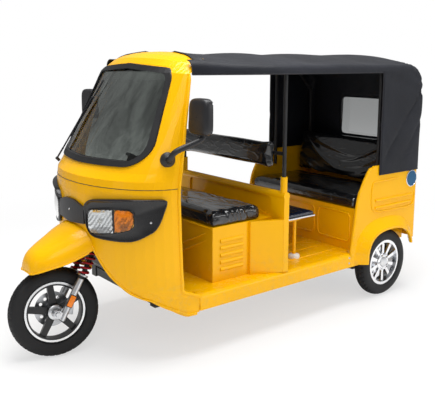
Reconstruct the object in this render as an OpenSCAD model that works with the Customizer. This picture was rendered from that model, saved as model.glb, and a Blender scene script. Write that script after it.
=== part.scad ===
// Auto rickshaw: three wheels, open sides, hollow cab shell and a fabric canopy.
// Lengths are millimetres.
// Modules are drawn with X = 0 at the rear axle, +X forward, +Y left and Z = 0 on the ground.

/* [Overall] */
// Distance between the front and rear axles
wheelbase = 2200; // [2160:5:2240]
// Width over the side panels
body_w = 1080; // [1070:2:1090]
// Rear axle to the rear face of the tail panel
tail_overhang = 350; // [345:1:360]
// Height of the lower edge of the sills
sill_z = 270; // [266:1:274]
// Height of the floor's upper face
floor_z = 360; // [356:1:364]
// Height of the canopy's ridge
roof_z = 1664; // [1655:1:1680]

/* [Panels] */
// Wall of the moulded cab shell
cab_t = 16; // [12:1:18]
// Thickness of the floor plate and the sill skirts
floor_t = 14; // [10:1:16]
// Thickness of the rear side and tail panels
panel_t = 18; // [14:1:20]
// Wall of the seat box and the bench base
box_t = 12; // [8:1:14]
// Thickness of the bulkhead
bulkhead_t = 40; // [34:1:44]
// Height of the bulkhead's rounded top
bulkhead_z = 849; // [840:1:860]
// Thickness of the canopy with its lining
canopy_t = 8; // [6:1:10]
// Gap left between neighbouring panels
seam = 0.4; // [0.3:0.1:0.6]

/* [Windscreen] */
// Height of the seam under the windscreen
cab_seam_z = 965; // [955:1:975]
// Width of the rubber gasket seen from the front
gasket_w = 29; // [24:1:34]
// How far the gasket stands out of the shell
gasket_proud = 9; // [5:1:12]
// Thickness of the windscreen glass
glass_t = 5; // [4:0.5:6]

/* [Front wheel and fork] */
// Diameter of the front tyre
front_tyre_d = 495; // [488:1:500]
// Width of the front tyre
front_tyre_w = 95; // [90:1:100]
// Radius of the front rim's lip
front_lip_r = 166; // [163:1:168]
// Rake of the steering axis from upright, degrees
rake = 30; // [28:0.5:32]
// How far the front axle stands ahead of the steering axis
fork_offset = 45; // [40:1:50]
// Steering angle of the parked front wheel, degrees, left is positive
steer_park = -13.3; // [-16:0.1:0]
// How far the fork legs stand behind the axle
leg_setback = 34; // [30:1:36]
// Distance between the fork legs
fork_leg_gap = 170; // [166:1:180]
// Radius of the steering stem
stem_r = 20; // [18:0.5:22]
// Radius of the front axle
front_axle_r = 8; // [7:0.5:10]

/* [Rear wheels] */
// Diameter of a rear tyre
rear_tyre_d = 470; // [464:1:474]
// Width of a rear tyre
rear_tyre_w = 100; // [96:1:102]
// Radius of a rear rim's lip
rear_lip_r = 158; // [154:1:162]
// Distance from a rear tyre's middle to the body's side
wheel_inset = 42; // [39:1:45]
// Radius of a rear axle stub
rear_stub_r = 14; // [12:0.5:16]
// Number of spokes of a rear rim
rear_spokes = 10; // [8:1:12]
// Number of spokes of the front rim
front_spokes = 5; // [5:1:7]

/* [Seats] */
// Depth of the folding seat's pad
jump_depth = 330; // [300:5:340]
// Gap between the folding seat's pad and the body's side
jump_inset = 140; // [130:5:170]
// Height of the folding seat's hinge
jump_hinge_z = 640; // [630:1:650]
// Height of the driver's seat box
seat_box_z = 684; // [675:1:690]
// Height of the bench base
bench_z = 650; // [645:1:660]
// Thickness of the seat cushions
cushion_t = 84; // [76:1:90]

/* [Details] */
// Running clearance on radius at turning fits
run_gap = 0.05; // [0.03:0.01:0.08]
// Radius of the roof frame's tubes
tube_r = 13; // [11:0.5:14]
// Distance from a chassis rail's middle to the body's side
rail_inset = 200; // [190:5:210]
// Radius of the tow eye's bore
tow_r = 13; // [10:0.5:14]

/* [Hidden] */

body_paint = "#f2a500";
trim_black = "#26262a";
vinyl_black = "#1b1c20";
canopy_dark = "#24252e";
cast_black = "#2b2b2e";
bright_metal = "#c4c6ca";
frame_black = "#1e1e20";
rubber_black = "#18181a";

half_w = body_w / 2;
front_r = front_tyre_d / 2;
front_bead_r = front_lip_r - 13;
rear_r = rear_tyre_d / 2;
rear_bead_r = rear_lip_r - 12;
rear_wheel_y = half_w - wheel_inset;
rail_y = half_w - rail_inset;
leg_y = fork_leg_gap / 2;

// The steered wheel leans a little: its hub height keeps the tyre on the ground.
crown_r = front_tyre_w / 2;
wheel_tilt = asin(sin(rake) * sin(steer_park));
wheel_toe = asin(cos(rake) * sin(steer_park));
hub_z = (front_r - crown_r) * cos(wheel_tilt) + crown_r + fork_offset * (1 - cos(steer_park)) * sin(rake);

// The part's middle lies halfway between the front tyre's tread and the tail lamps.
lamp_proud = 10;
front_reach = wheelbase - fork_offset * (1 - cos(steer_park)) * cos(rake)
    + (front_r - crown_r) * cos(wheel_toe) + crown_r;
mid_x = (front_reach - tail_overhang - lamp_proud) / 2;

// Fore and aft places
bulkhead_x = wheelbase * 478 / 1100;
bench_x = 300;
riser_x = bench_x - box_t;
floor_front_x = wheelbase - 465;
skirt_front_x = wheelbase - 602;
liner_x = wheelbase - 360;
quarter_x = 106;
seat_front_x = wheelbase * 0.65;
seat_back_x = bulkhead_x + bulkhead_t / 2 + seam;
rear_panel_front_x = 350;

// Heights
rail_top_z = floor_z - floor_t;
rail_h = 70;
post_y = half_w - 32;
valance_z = 1545;
quarter_z = 865;
side_top_z = 927;

module from_axle() translate([-mid_x, 0, 0]) children();

module both_sides() {
    children();
    mirror([0, 1, 0]) children();
}

// Round bar between two points
module rod(p, q, r) {
    d = q - p;
    translate(p) rotate([0, acos(d.z / norm(d)), atan2(d.y, d.x)]) cylinder(h = norm(d), r = r, $fn = 32);
}

// Outline in the XZ plane, given thickness along Y about y
module side_plate(y, t) translate([0, y + t / 2, 0]) rotate([90, 0, 0]) linear_extrude(t) children();

// Outline in the YZ plane, drawn out along X from x0 to x1
module front_plate(x0, x1) translate([x0, 0, 0]) rotate([90, 0, 90]) linear_extrude(x1 - x0) children();

// Rectangle with round corners between two opposite corners
module round_box2(p, q, r) {
    translate([p.x + r, p.y]) square([q.x - p.x - 2 * r, q.y - p.y]);
    translate([p.x, p.y + r]) square([q.x - p.x, q.y - p.y - 2 * r]);
    for (x = [p.x + r, q.x - r], y = [p.y + r, q.y - r]) translate([x, y]) circle(r, $fn = 48);
}

// Closed skin between two grids of points: rows run up and columns run right, seen from outside
function wall_faces(a, b, n) = [[b, a, a + n], [b, a + n, b + n]];
function skin_faces(m, n) = let (all = (m + 1) * (n + 1), at = function(i, j) i * (n + 1) + j) [
    for (i = [0 : m - 1], j = [0 : n - 1]) each [
        [at(i, j), at(i + 1, j), at(i + 1, j + 1)],
        [at(i, j), at(i + 1, j + 1), at(i, j + 1)],
        [all + at(i, j), all + at(i + 1, j + 1), all + at(i + 1, j)],
        [all + at(i, j), all + at(i, j + 1), all + at(i + 1, j + 1)]
    ],
    for (i = [0 : m - 1]) each wall_faces(at(i, 0), at(i + 1, 0), all),
    for (i = [0 : m - 1]) each wall_faces(at(i + 1, n), at(i, n), all),
    for (j = [0 : n - 1]) each wall_faces(at(m, j), at(m, j + 1), all),
    for (j = [0 : n - 1]) each wall_faces(at(0, j + 1), at(0, j), all)
];

module skin(outer, inner) {
    points = [for (row = outer) each row, for (row = inner) each row];
    polyhedron(points, skin_faces(len(outer) - 1, len(outer[0]) - 1));
}

// Cab shell. Each row of the table is one level of the shell's plan, a superellipse open at the doors.
cab_bow = 2;
cab_steps = 12;
cab_angles = [for (k = [-cab_steps : cab_steps]) k * 90 / cab_steps];
cab_rows = [
    // height, nose behind front axle, door edge behind front axle, inset from body side, drop at the sides
    [sill_z - 8, 161, 600, 8, 0],
    [sill_z + 82, 148, 599, 5, 0],
    [sill_z + 100, 146, 545, 5, 0],
    [sill_z + 132, 142, 491, 4, 0],
    [500, 130, 480, 2, 0],
    [700, 122, 470, 0, 0],
    [935, 120, 463, 0, 0],
    [1005, 130, 470, 1, 0],
    [1045, 166, 478, 2, 0],
    [1080, 188, 484, 5, 0],
    [1560, 488, 594, 81, 10],
    [1600, 508, 660, 88, 20],
    [1632, 534, 700, 100, 30],
    [1654, 590, 708, 112, 36],
    [1665, 650, 711, 120, 37],
    [1668, 709, 712, 122, 38]
];
cab_top_z = cab_rows[len(cab_rows) - 1][0];
function cab_at(column, z) = lookup(z, [for (row = cab_rows) [row[0], row[column]]]);
// Below the header the wall's thickness runs across, on the roof it runs down
function cab_lift(z) = lookup(z, [[1560, 0], [1632, 1]]);
function bow(angle) = sign(angle) * pow(abs(sin(angle)), 2 / cab_bow);
function cab_point(z, angle, out) = let (
    front = wheelbase - cab_at(1, z) + out * (1 - cab_lift(z) / 2),
    edge = wheelbase - cab_at(2, z),
    side = half_w - cab_at(3, z) + out
) [
    edge + (front - edge) * pow(cos(angle), 2 / cab_bow),
    side * bow(angle),
    z - cab_at(4, z) * pow(bow(angle), 2) + out * cab_lift(z)
];
// Grid of points on the shell at the given levels, moved out from its outer face
function cab_grid(levels, out, angles = cab_angles) =
    [for (z = levels) [for (a = angles) cab_point(z, a, out)]];

upper_levels = [cab_seam_z + seam, 1005, 1045, 1080, 1240, 1400, 1560, 1600, 1632, 1654, 1665, cab_top_z];
screen_levels = [1045, 1080, 1240, 1400, 1560, 1600, 1632];

// Lower edge of the nose over the front wheel, as height over distance from the middle
arch_edge = [
    [0, 690], [140, 690], [168, 654], [200, 605], [250, 538], [300, 480], [375, 415], [450, 360], [505, 306],
    [half_w - 8, sill_z - 8]
];
nose_steps = [0, 0.126, 0.153, 0.2, 0.34, 0.5, 0.66, 0.82, 0.957, 1];
function nose_grid(out) = [for (step = nose_steps) [for (a = cab_angles) let (
    low = lookup(abs(bow(a)) * half_w, arch_edge)
) cab_point(low + (cab_seam_z - low) * step, a, out)]];

// Windscreen outline in the YZ plane, larger by grow
screen_corners = [
    // half distance across, height, corner radius
    [half_w - 206, 1186, 112], [0, 1180, 112], [half_w - 230, 1496, 86], [0, 1524, 78]
];
module screen_outline(grow) hull() for (c = screen_corners, side = [-1, 1])
    translate([side * c[0], c[1]]) circle(c[2] + grow, $fn = 32);
screen_x = [wheelbase - 720, wheelbase - 60];
module screen_prism(grow) front_plate(screen_x[0], screen_x[1]) screen_outline(grow);

// Chassis: two rails, cross members between them and the neck that carries the steering head
rail_w = 50;
rail_z = rail_top_z - rail_h;
rail_back_x = -tail_overhang + panel_t + 4;
rail_front_x = wheelbase - 420;
cross_w = 50;
cross_h = rail_h - 20;
cross_z = rail_z + 10;
tow_t = 12;
tow_x = rail_back_x - 2;
jack_x = [500, 1300];
jack_pad = [60, 60, 6];
module cross_member(x) translate([x - cross_w / 2, -rail_y + rail_w / 2 + seam, cross_z])
    cube([cross_w, 2 * rail_y - rail_w - 2 * seam, cross_h]);

module chassis_rails() color(frame_black) from_axle() both_sides() {
    translate([rail_back_x, rail_y - rail_w / 2, rail_z]) cube([rail_front_x - rail_back_x, rail_w, rail_h]);
    for (x = jack_x) translate([x - jack_pad.x / 2, rail_y - jack_pad.y / 2, rail_z - jack_pad.z])
        cube(jack_pad);
}

module cross_members() color(frame_black) from_axle() {
    back_x = rail_back_x + 70;
    for (x = [420, bulkhead_x, seat_front_x + 20]) cross_member(x);
    difference() {
        union() {
            cross_member(back_x);
            translate([tow_x, -40, cross_z + 14]) cube([back_x - tow_x, 80, tow_t]);
            translate([tow_x, 0, cross_z + 14]) cylinder(h = tow_t, r = tow_r + 14, $fn = 48);
        }
        translate([tow_x, 0, cross_z]) cylinder(h = cross_h, r = tow_r, $fn = 48);
    }
}

module steering_head() color(frame_black) from_axle() difference() {
    neck_w = 64;
    union() {
        cross_member(rail_front_x - 30);
        side_plate(0, neck_w) polygon([
            [floor_front_x + 5, rail_z + 8], [rail_front_x - 5, rail_z + 8],
            [rail_front_x + 10, floor_z + 40], fork_xz(head_low + 40),
            fork_xz(head_high - 20), [floor_front_x + 5, rail_top_z - 6]
        ]);
        fork_axis() translate([0, 0, head_low]) cylinder(h = head_high - head_low, r = stem_r + 14, $fn = 64);
    }
    fork_axis() translate([0, 0, head_low - 200])
        cylinder(h = head_high - head_low + 400, r = stem_r + run_gap, $fn = 64);
}

// Steering axis: distances run up it from the front axle's level
head_low = 440;
head_high = 600;
function fork_xz(s) = [
    wheelbase - fork_offset * cos(rake) - s * sin(rake),
    hub_z - fork_offset * sin(rake) + s * cos(rake)
];
module fork_axis() translate([fork_xz(0).x, 0, fork_xz(0).y]) rotate([0, -rake, 0]) children();
// Fork parts are drawn with the wheel's middle at the origin and the legs along Z, then turned as parked
module steered() fork_axis() rotate([0, 0, steer_park]) translate([fork_offset, 0, 0]) children();

module sill_section(half, low) {
    edge_r = 28;
    difference() {
        union() {
            translate([-half, low]) square([2 * half, floor_z - edge_r - low]);
            translate([-half + edge_r, low]) square([2 * (half - edge_r), floor_z - low]);
            for (s = [-1, 1]) translate([s * (half - edge_r), floor_z - edge_r]) circle(edge_r, $fn = 64);
        }
        translate([-half + floor_t, low - 1]) square([2 * (half - floor_t), floor_z - floor_t - low + 1]);
    }
}

module floor_pan() color(body_paint) from_axle() {
    front_plate(rear_panel_front_x + seam, skirt_front_x) sill_section(half_w, sill_z);
    front_plate(skirt_front_x, floor_front_x) sill_section(half_w - 56, sill_z + 30);
    translate([riser_x - 20, -half_w + 60, floor_z - floor_t])
        cube([rear_panel_front_x - riser_x + 40, body_w - 120, floor_t]);
}

module cab_nose() color(body_paint) from_axle() skin(nose_grid(0), nose_grid(-cab_t));

module cab_upper() color(body_paint) from_axle() difference() {
    skin(cab_grid(upper_levels, 0), cab_grid(upper_levels, -cab_t));
    screen_prism(seam);
}

module windscreen_gasket() color(rubber_black) from_axle() intersection() {
    skin(cab_grid(screen_levels, gasket_proud), cab_grid(screen_levels, -cab_t));
    difference() {
        screen_prism(0);
        screen_prism(-gasket_w);
    }
}

module windscreen() color("#9fb4b8", 0.5) from_axle() intersection() {
    skin(cab_grid(screen_levels, -4), cab_grid(screen_levels, -4 - glass_t));
    screen_prism(-gasket_w - seam);
}

// Wiper at the far end of the windscreen: spindle on the ledge, arm and blade up the glass
wiper_angle = -38;
module wiper() color(trim_black) from_axle() {
    pivot = cab_point(1030, wiper_angle, 9);
    knee = cab_point(1100, wiper_angle * 0.96, 26);
    top = cab_point(1400, wiper_angle * 0.74, 24);
    blade_low = cab_point(1190, wiper_angle * 0.92, 15);
    blade_top = cab_point(1500, wiper_angle * 0.68, 15);
    rod(pivot, pivot + [18, 0, 18], 9);
    rod(pivot + [14, 0, 14], knee, 5);
    translate(knee) sphere(6, $fn = 24);
    rod(knee, top, 4.5);
    translate(top) sphere(6, $fn = 24);
    rod(top, (blade_low + blade_top) / 2, 4);
    rod(blade_low, blade_top, 5);
}

// Lamp units wrap round the nose; the tables give an edge's height over the angle from straight ahead
lamp_angles = [15.4, 16.6, 18.6, 21, 25, 30, 35, 39, 44, 48, 52, 56, 60, 64, 68, 71, 74, 76.4, 78.2];
bezel_low = [[15.4, 775], [16.6, 738], [18.6, 710], [21, 697], [25, 689], [39, 687], [48, 690], [52, 695],
    [56, 705], [60, 720], [64, 736], [68, 752], [71, 778], [74, 820], [76.4, 862], [78.2, 892]];
bezel_high = [[15.4, 836], [16.6, 862], [18.6, 882], [21, 894], [25, 902], [39, 914], [48, 919], [71, 921],
    [74, 920], [76.4, 916], [78.2, 908]];
bezel_proud = 15;
bezel_brow = 15;
// The face stands out by out, and by brow more at its upper edge
function patch_grid(angles, low, high, out, brow, rows = 4) = [for (i = [0 : rows]) [for (a = angles) let (
    z = lookup(abs(a), low) + (lookup(abs(a), high) - lookup(abs(a), low)) * i / rows
) cab_point(z, a, out + brow * pow(i / rows, 6))]];
module patch(angles, low, high, from, to, brow = 0) skin(
    patch_grid(angles, low, high, to, brow), patch_grid(angles, low, high, from, 0));
lens_low = [[19, 742], [20.2, 722], [22, 714], [39, 735], [48, 752], [51, 764], [53, 786]];
lens_high = [[19, 812], [20.2, 832], [22, 842], [39, 858], [48, 860], [51, 856], [53, 842]];
lens_split = 38.6;
lens_out = [bezel_proud + 3.5, bezel_proud + 10];

module headlamp_bezels() color(trim_black) from_axle() both_sides()
    patch(lamp_angles, bezel_low, bezel_high, 1, bezel_proud, bezel_brow);

module headlamp_lenses() color("#e8ecee") from_axle() both_sides()
    patch([19, 20.2, 22, 26, 30, 34, lens_split - 0.3], lens_low, lens_high, lens_out[0], lens_out[1]);

module indicator_lenses() color("#e06a10") from_axle() both_sides()
    patch([lens_split + 0.3, 43, 48, 51, 53], lens_low, lens_high, lens_out[0], lens_out[1]);

// Black band between the lamps
module fascia_trim() color(trim_black) from_axle() patch(
    [for (k = [-5 : 5]) k * 3], [[0, 742], [15, 752]], [[0, 872], [5, 872], [15, 842]], 1, bezel_proud);

// Beak of the mudguard: half sections along its length, the first one lying on the nose
guard_rows = [
    // ahead of front axle, crown height, half width, depth of the side
    [-112, 736, 188, 126],
    [-62, 710, 172, 135],
    [0, 676, 152, 124],
    [72, 636, 126, 102],
    [120, 604, 98, 86],
    [146, 566, 70, 58],
    [154, 528, 46, 24]
];
guard_t = 5;
guard_bow = 2.5;
function guard_curve(angle) = sign(angle) * pow(abs(sin(angle)), 2 / guard_bow);
guard_angles = [for (a = [90 : -15 : -90]) a];
// Where the nose's outer face lies, ahead of the rear axle, at height z and y from the middle
function nose_x(z, y) = let (front = wheelbase - cab_at(1, z), edge = wheelbase - cab_at(2, z))
    edge + (front - edge) * pow(1 - pow(abs(y) / (half_w - cab_at(3, z)), cab_bow), 1 / cab_bow);
function guard_point(i, angle, in) = let (
    row = guard_rows[i],
    y = (row[2] - in) * guard_curve(angle),
    z = row[1] - in - (row[3] - in) * (1 - pow(cos(angle), 2 / guard_bow))
) [i == 0 ? nose_x(z, y) + 2 * seam : wheelbase + row[0] - in, y, z];
function guard_grid(in) =
    [for (i = [0 : len(guard_rows) - 1]) [for (a = guard_angles) guard_point(i, a, in)]];
module front_mudguard() color(body_paint) from_axle() skin(guard_grid(0), guard_grid(guard_t));

// Splash panel behind the front wheel: on from the floor, then up to the dash, slotted for the steering neck
liner_t = 11;
liner_top_z = 760;
module arch_liner() color(trim_black) from_axle() difference() {
    side_plate(0, body_w - 170) polygon([
        [floor_front_x + seam, floor_z], [floor_front_x + seam, floor_z - liner_t],
        [liner_x - 56, floor_z - liner_t],
        [liner_x + liner_t, floor_z + 50], [liner_x + liner_t, liner_top_z], [liner_x, liner_top_z],
        [liner_x, floor_z + 56], [liner_x - 60, floor_z]
    ]);
    translate([floor_front_x - 50, -46, 0]) cube([300, 92, 2000]);
}

dash_low = 770;
dash_z = 985;
module dashboard() color(trim_black) from_axle() {
    difference() {
        intersection() {
            side_plate(0, body_w) polygon([
                [liner_x - 10, dash_low], [liner_x + 30, dash_low], [wheelbase - 140, dash_z - 60],
                [wheelbase - 140, dash_z], [liner_x, dash_z], [liner_x - 12, dash_z - 70]
            ]);
            translate([0, 0, dash_low]) linear_extrude(400) polygon([for (a = cab_angles)
                let (p = cab_point(cab_seam_z + 40, a, -cab_t - 8)) [p.x, p.y]]);
        }
        translate([wheelbase - 500, -95, dash_low - 1]) cube([190, 190, 400]);
    }
    translate([liner_x + 60, 0, dash_z - 1]) rotate([0, -25, 0]) cylinder(h = 46, r = 62, $fn = 48);
}

// Foot brake on the splash panel
module brake_pedal() color(trim_black) from_axle() {
    pedal_y = -170;
    pad_at = [liner_x - 64, pedal_y, floor_z + 70];
    rod([liner_x - 8, pedal_y, floor_z + 190], pad_at, 8);
    translate(pad_at) rotate([0, -25, 0]) translate([-12, -35, -24]) cube([12, 70, 48]);
}

// Mirrors: foot on the shell, bent arm and a rounded head
mirror_head = [70, 160, 190];
mirror_at = [wheelbase - 568, half_w + 58, 1335];
mirror_r = 28;
mirror_face = -12;
mirror_arm_r = 17;
module mirror_shape() {
    foot = cab_point(1118, 74, 0);
    elbow = foot + [-14, 56, 52];
    patch([67, 70.5, 74, 77, 80], [[0, 1092]], [[0, 1144]], 1, 24);
    rod(foot + [4, 22, 0], elbow, mirror_arm_r);
    translate(elbow) sphere(mirror_arm_r + 1, $fn = 32);
    rod(elbow, mirror_at + [8, 10, -70], mirror_arm_r - 1);
    translate(mirror_at) difference() {
        hull() for (y = [-1, 1], z = [-1, 1])
            translate([0, y * (mirror_head.y / 2 - mirror_r), z * (mirror_head.z / 2 - mirror_r)])
                scale([mirror_head.x / mirror_r / 2, 1, 1]) sphere(mirror_r, $fn = 24);
        translate([mirror_face - mirror_head.x, -mirror_head.y, -mirror_head.z])
            cube([mirror_head.x, 2 * mirror_head.y, 2 * mirror_head.z]);
    }
}
module mirrors() color(trim_black) from_axle() both_sides() mirror_shape();
module mirror_glass() color("#b8c4cc") from_axle() both_sides() {
    glass = [mirror_head.y / 2 - 8, mirror_head.z / 2 - 8];
    translate(mirror_at) front_plate(mirror_face - seam - 4, mirror_face - seam)
        round_box2(-glass, glass, 20);
}

seat_half = half_w - 112;
module seat_box() color(body_paint) from_axle() {
    size = [seat_front_x - seat_back_x, 2 * seat_half, seat_box_z - floor_z - seam];
    louvre_z = [for (k = [0 : 4]) floor_z + 70 + 42 * k];
    louvre_w = 170;
    louvre_x = seat_front_x - 225;
    difference() {
        translate([seat_back_x, -seat_half, floor_z + seam]) cube(size);
        translate([seat_back_x - 1, -seat_half + box_t, floor_z - 1])
            cube([size.x - box_t + 1, size.y - 2 * box_t, size.z - box_t + 1 + seam]);
    }
    both_sides() for (z = louvre_z) intersection() {
        translate([louvre_x, seat_half - 6, z]) rotate([0, 90, 0]) cylinder(h = louvre_w, r = 14, $fn = 48);
        translate([louvre_x - 15, seat_half - 1, z - 20]) cube([louvre_w + 30, 10, 40]);
    }
}

battery_gap = 68;
battery_h = 240;
module battery_block() color("#3a3d42") from_axle()
    translate([seat_back_x + 40, -seat_half + battery_gap, floor_z + seam])
        cube([seat_front_x - seat_back_x - 90, 2 * (seat_half - battery_gap), battery_h]);

module pad(p, size, r) translate(p) hull() for (x = [r, size.x - r], y = [r, size.y - r], z = [r, size.z - r])
    translate([x, y, z]) sphere(r, $fn = 16);

cushion_back_x = bulkhead_x + 100;
cushion_lip = 14;
module driver_cushion() color(vinyl_black) from_axle() pad(
    [cushion_back_x, -seat_half - cushion_lip, seat_box_z + seam],
    [seat_front_x + cushion_lip - cushion_back_x, 2 * (seat_half + cushion_lip), cushion_t], 22);

backrest_z = 985;
backrest_half = half_w - 84;
module driver_backrest() color(vinyl_black) from_axle()
    pad([bulkhead_x + tube_r + seam, -backrest_half, backrest_z], [66, 2 * backrest_half, 168], 20);

module bulkhead() color(body_paint) from_axle() {
    cap_r = 24;
    half = half_w - 4;
    front_x = bulkhead_x + bulkhead_t / 2;
    wing_x = bulkhead_x + 204;
    recess = [half_w - 120, 110];
    socket_h = 149;
    difference() {
        union() {
            translate([bulkhead_x - bulkhead_t / 2, -half, floor_z + seam])
                cube([bulkhead_t, 2 * half, bulkhead_z - cap_r - floor_z - seam]);
            translate([bulkhead_x, half, bulkhead_z - cap_r]) rotate([90, 0, 0])
                cylinder(h = 2 * half, r = cap_r, $fn = 48);
            both_sides() translate([bulkhead_x, post_y, bulkhead_z - 60])
                cylinder(h = socket_h, r = post_r + 9, $fn = 48);
        }
        front_plate(front_x - 12, front_x + 20)
            round_box2([-recess.x, seat_box_z + 16], [recess.x, seat_box_z + 16 + recess.y], 30);
        both_sides() translate([bulkhead_x, post_y, bulkhead_z - 40])
            cylinder(h = 200, r = post_r + seam, $fn = 48);
    }
    // The wings' roots run into the wall
    root_x = front_x - bulkhead_t / 4;
    both_sides() translate([0, 0, floor_z + seam]) linear_extrude(seat_box_z - floor_z - seam) polygon([
        [root_x, half_w - 6], [front_x, half_w - 6], [wing_x, seat_half + seam + 16],
        [wing_x, seat_half + seam], [front_x, half_w - 40], [root_x, half_w - 40]
    ]);
}

// Folding seat on the bulkhead's rear face
jump_w = body_w - 2 * jump_inset;
jump_wall_x = bulkhead_x - bulkhead_t / 2;
jump_hinge_x = jump_wall_x - 34;
jump_pin_r = 6;
jump_leg_y = jump_w / 2 - 40;
jump_rest_z = jump_hinge_z - 18;
module jump_bracket() color(body_paint) from_axle() {
    leg_x = jump_hinge_x - 190;
    foot_h = 22;
    arm_t = 14;
    ear_t = 8;
    both_sides() {
        translate([leg_x, jump_leg_y, floor_z + seam]) cylinder(h = foot_h, r = 34, $fn = 48);
        translate([leg_x, jump_leg_y, floor_z + foot_h - 2])
            cylinder(h = jump_rest_z - floor_z - foot_h - arm_t / 2, r = 12, $fn = 32);
        translate([leg_x - 40, jump_leg_y - 14, jump_rest_z - arm_t])
            cube([jump_wall_x - leg_x + 40 - seam, 28, arm_t]);
        difference() {
            translate([jump_hinge_x - 14, jump_leg_y - 14, jump_rest_z - 2])
                cube([jump_wall_x - jump_hinge_x + 14 - seam, ear_t, jump_hinge_z - jump_rest_z + 16]);
            translate([jump_hinge_x, 0, jump_hinge_z]) rotate([-90, 0, 0])
                cylinder(h = jump_w, r = jump_pin_r + run_gap, $fn = 48);
        }
    }
}

module jump_seat() color("#1c2233") from_axle() {
    pan_x = jump_hinge_x - jump_depth - 10;
    pan_w = jump_depth - 14;
    side_plate(0, jump_w) round_box2([pan_x, jump_rest_z + seam], [pan_x + pan_w, jump_rest_z + 36], 10);
    both_sides() {
        translate([jump_hinge_x - 50, jump_leg_y - 32, jump_hinge_z - 6]) cube([50, 12, 12]);
        translate([jump_hinge_x, jump_leg_y - 34, jump_hinge_z]) rotate([-90, 0, 0])
            cylinder(h = 16, r = 14, $fn = 48);
        translate([jump_hinge_x, jump_leg_y - 24, jump_hinge_z]) rotate([-90, 0, 0])
            cylinder(h = 22, r = jump_pin_r, $fn = 48);
    }
}

bench_back_x = -tail_overhang + panel_t + 6;
bench_half = half_w - 104;
bench_seat_half = half_w - panel_t - 4;
module bench_base() color(body_paint) from_axle() {
    floor_gap = 60;
    room_half = bench_half - box_t;
    rail_slot = rail_w + 2;
    shelf_x = bench_back_x + tail_corner_r - panel_t;
    difference() {
        translate([bench_back_x, -bench_half, rail_top_z - 8])
            cube([bench_x - bench_back_x - 1, 2 * bench_half, bench_z - rail_top_z + 8]);
        translate([bench_back_x + box_t, -room_half, floor_z - floor_gap])
            cube([riser_x - bench_back_x - box_t, 2 * room_half, bench_z - floor_z + floor_gap - box_t]);
        both_sides() translate([bench_back_x - 10, rail_y - rail_slot / 2, 0])
            cube([700, rail_slot, rail_top_z + seam]);
        translate([riser_x - floor_gap, -bench_half - 1, 0]) cube([100, 2 * bench_half + 2, floor_z + seam]);
    }
    translate([riser_x, -bench_seat_half, floor_z + seam])
        cube([box_t, 2 * bench_seat_half, bench_z - floor_z - seam]);
    translate([shelf_x, -bench_seat_half, bench_z - box_t])
        cube([bench_x - shelf_x, 2 * bench_seat_half, box_t]);
}

bench_pad_back_x = -tail_overhang + 140;
bench_lip = 24;
module bench_cushion() color(vinyl_black) from_axle() pad(
    [bench_pad_back_x, -bench_seat_half + 2, bench_z + seam],
    [bench_x + bench_lip - bench_pad_back_x, 2 * bench_seat_half - 4, cushion_t], 22);

bench_back_h = 330;
bench_back_lean = 8;
bench_back_t = 84;
bench_back_front_x = -tail_overhang + 205;
module bench_backrest() color(vinyl_black) from_axle() side_plate(0, 2 * (bench_seat_half - 18))
    translate([bench_back_front_x, bench_z + cushion_t + 2 + bench_back_t * sin(bench_back_lean)])
        rotate(bench_back_lean) round_box2([-bench_back_t, 0], [0, bench_back_h], 26);

// Rear side panel: outline with the wheel arch, pressed ribs and the flare over the wheel
arch_middle = [10, 300];
arch_size = [232, 188];
arch_bow = 2.6;
flare_out = 58;
rib_z = [640, 690];
rib_x = [-270, 130];
rib_r = 9;
tail_corner_r = 46;
// Behind the wheel the panel and its flare end at this height
arch_back_z = 350;
function arch_edge_point(a, grow) = arch_middle + [
    (arch_size.x + grow) * sign(cos(a)) * pow(abs(cos(a)), 2 / arch_bow),
    (arch_size.y + grow) * pow(sin(a), 2 / arch_bow)
];
module arch_cut(grow) polygon([
    [arch_middle.x + arch_size.x + grow, 0],
    each [for (a = [0 : 9 : 180]) arch_edge_point(a, grow)],
    [arch_middle.x - arch_size.x - grow, 0]
]);
module flare_slab(y, grow, low) side_plate(y, 1) intersection() {
    arch_cut(grow);
    translate([-500, low]) square([1000, 1000]);
}
module rear_side_shape() difference() {
    union() {
        side_plate(half_w - panel_t / 2, panel_t) polygon([
            [rear_panel_front_x, sill_z], [rear_panel_front_x, floor_z + 20], [300, 712], [262, 800],
            [200, 896], [150, side_top_z], [-tail_overhang + tail_corner_r, side_top_z],
            [-tail_overhang + tail_corner_r, tail_z], [arch_middle.x - arch_size.x, arch_back_z],
            [arch_middle.x + arch_size.x, sill_z]
        ]);
        hull() {
            flare_slab(half_w - 0.5, 78, sill_z + 10);
            flare_slab(half_w + flare_out - 0.5, 14, sill_z + 10);
        }
        for (z = rib_z) translate([rib_x[0], half_w, z]) rotate([0, 90, 0])
            cylinder(h = rib_x[1] - rib_x[0], r = rib_r, $fn = 32);
    }
    hull() {
        flare_slab(half_w - panel_t - 1, 62, 0);
        flare_slab(half_w + flare_out - panel_t, 2, 0);
    }
    side_plate(half_w + flare_out, 60) arch_cut(0);
    translate([-500, half_w - panel_t - 200, 0]) cube([1000, 200, 2000]);
    translate([arch_middle.x - 500, half_w - 100, 0]) cube([500, 300, arch_back_z]);
}
module rear_side_left() color(body_paint) from_axle() rear_side_shape();
module rear_side_right() color(body_paint) from_axle() mirror([0, 1, 0]) rear_side_shape();

tail_z = 368;
inner_half = half_w - panel_t;
module tail_panel() color(body_paint) from_axle() translate([0, 0, tail_z - 2])
    linear_extrude(side_top_z - tail_z + 2) difference() {
        round_box2([-tail_overhang, -half_w], [0, half_w], tail_corner_r);
        round_box2([panel_t - tail_overhang, -inner_half], [200, inner_half], tail_corner_r - panel_t);
        translate([-tail_overhang + tail_corner_r - seam, -half_w - 1]) square([600, body_w + 2]);
    }

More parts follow.
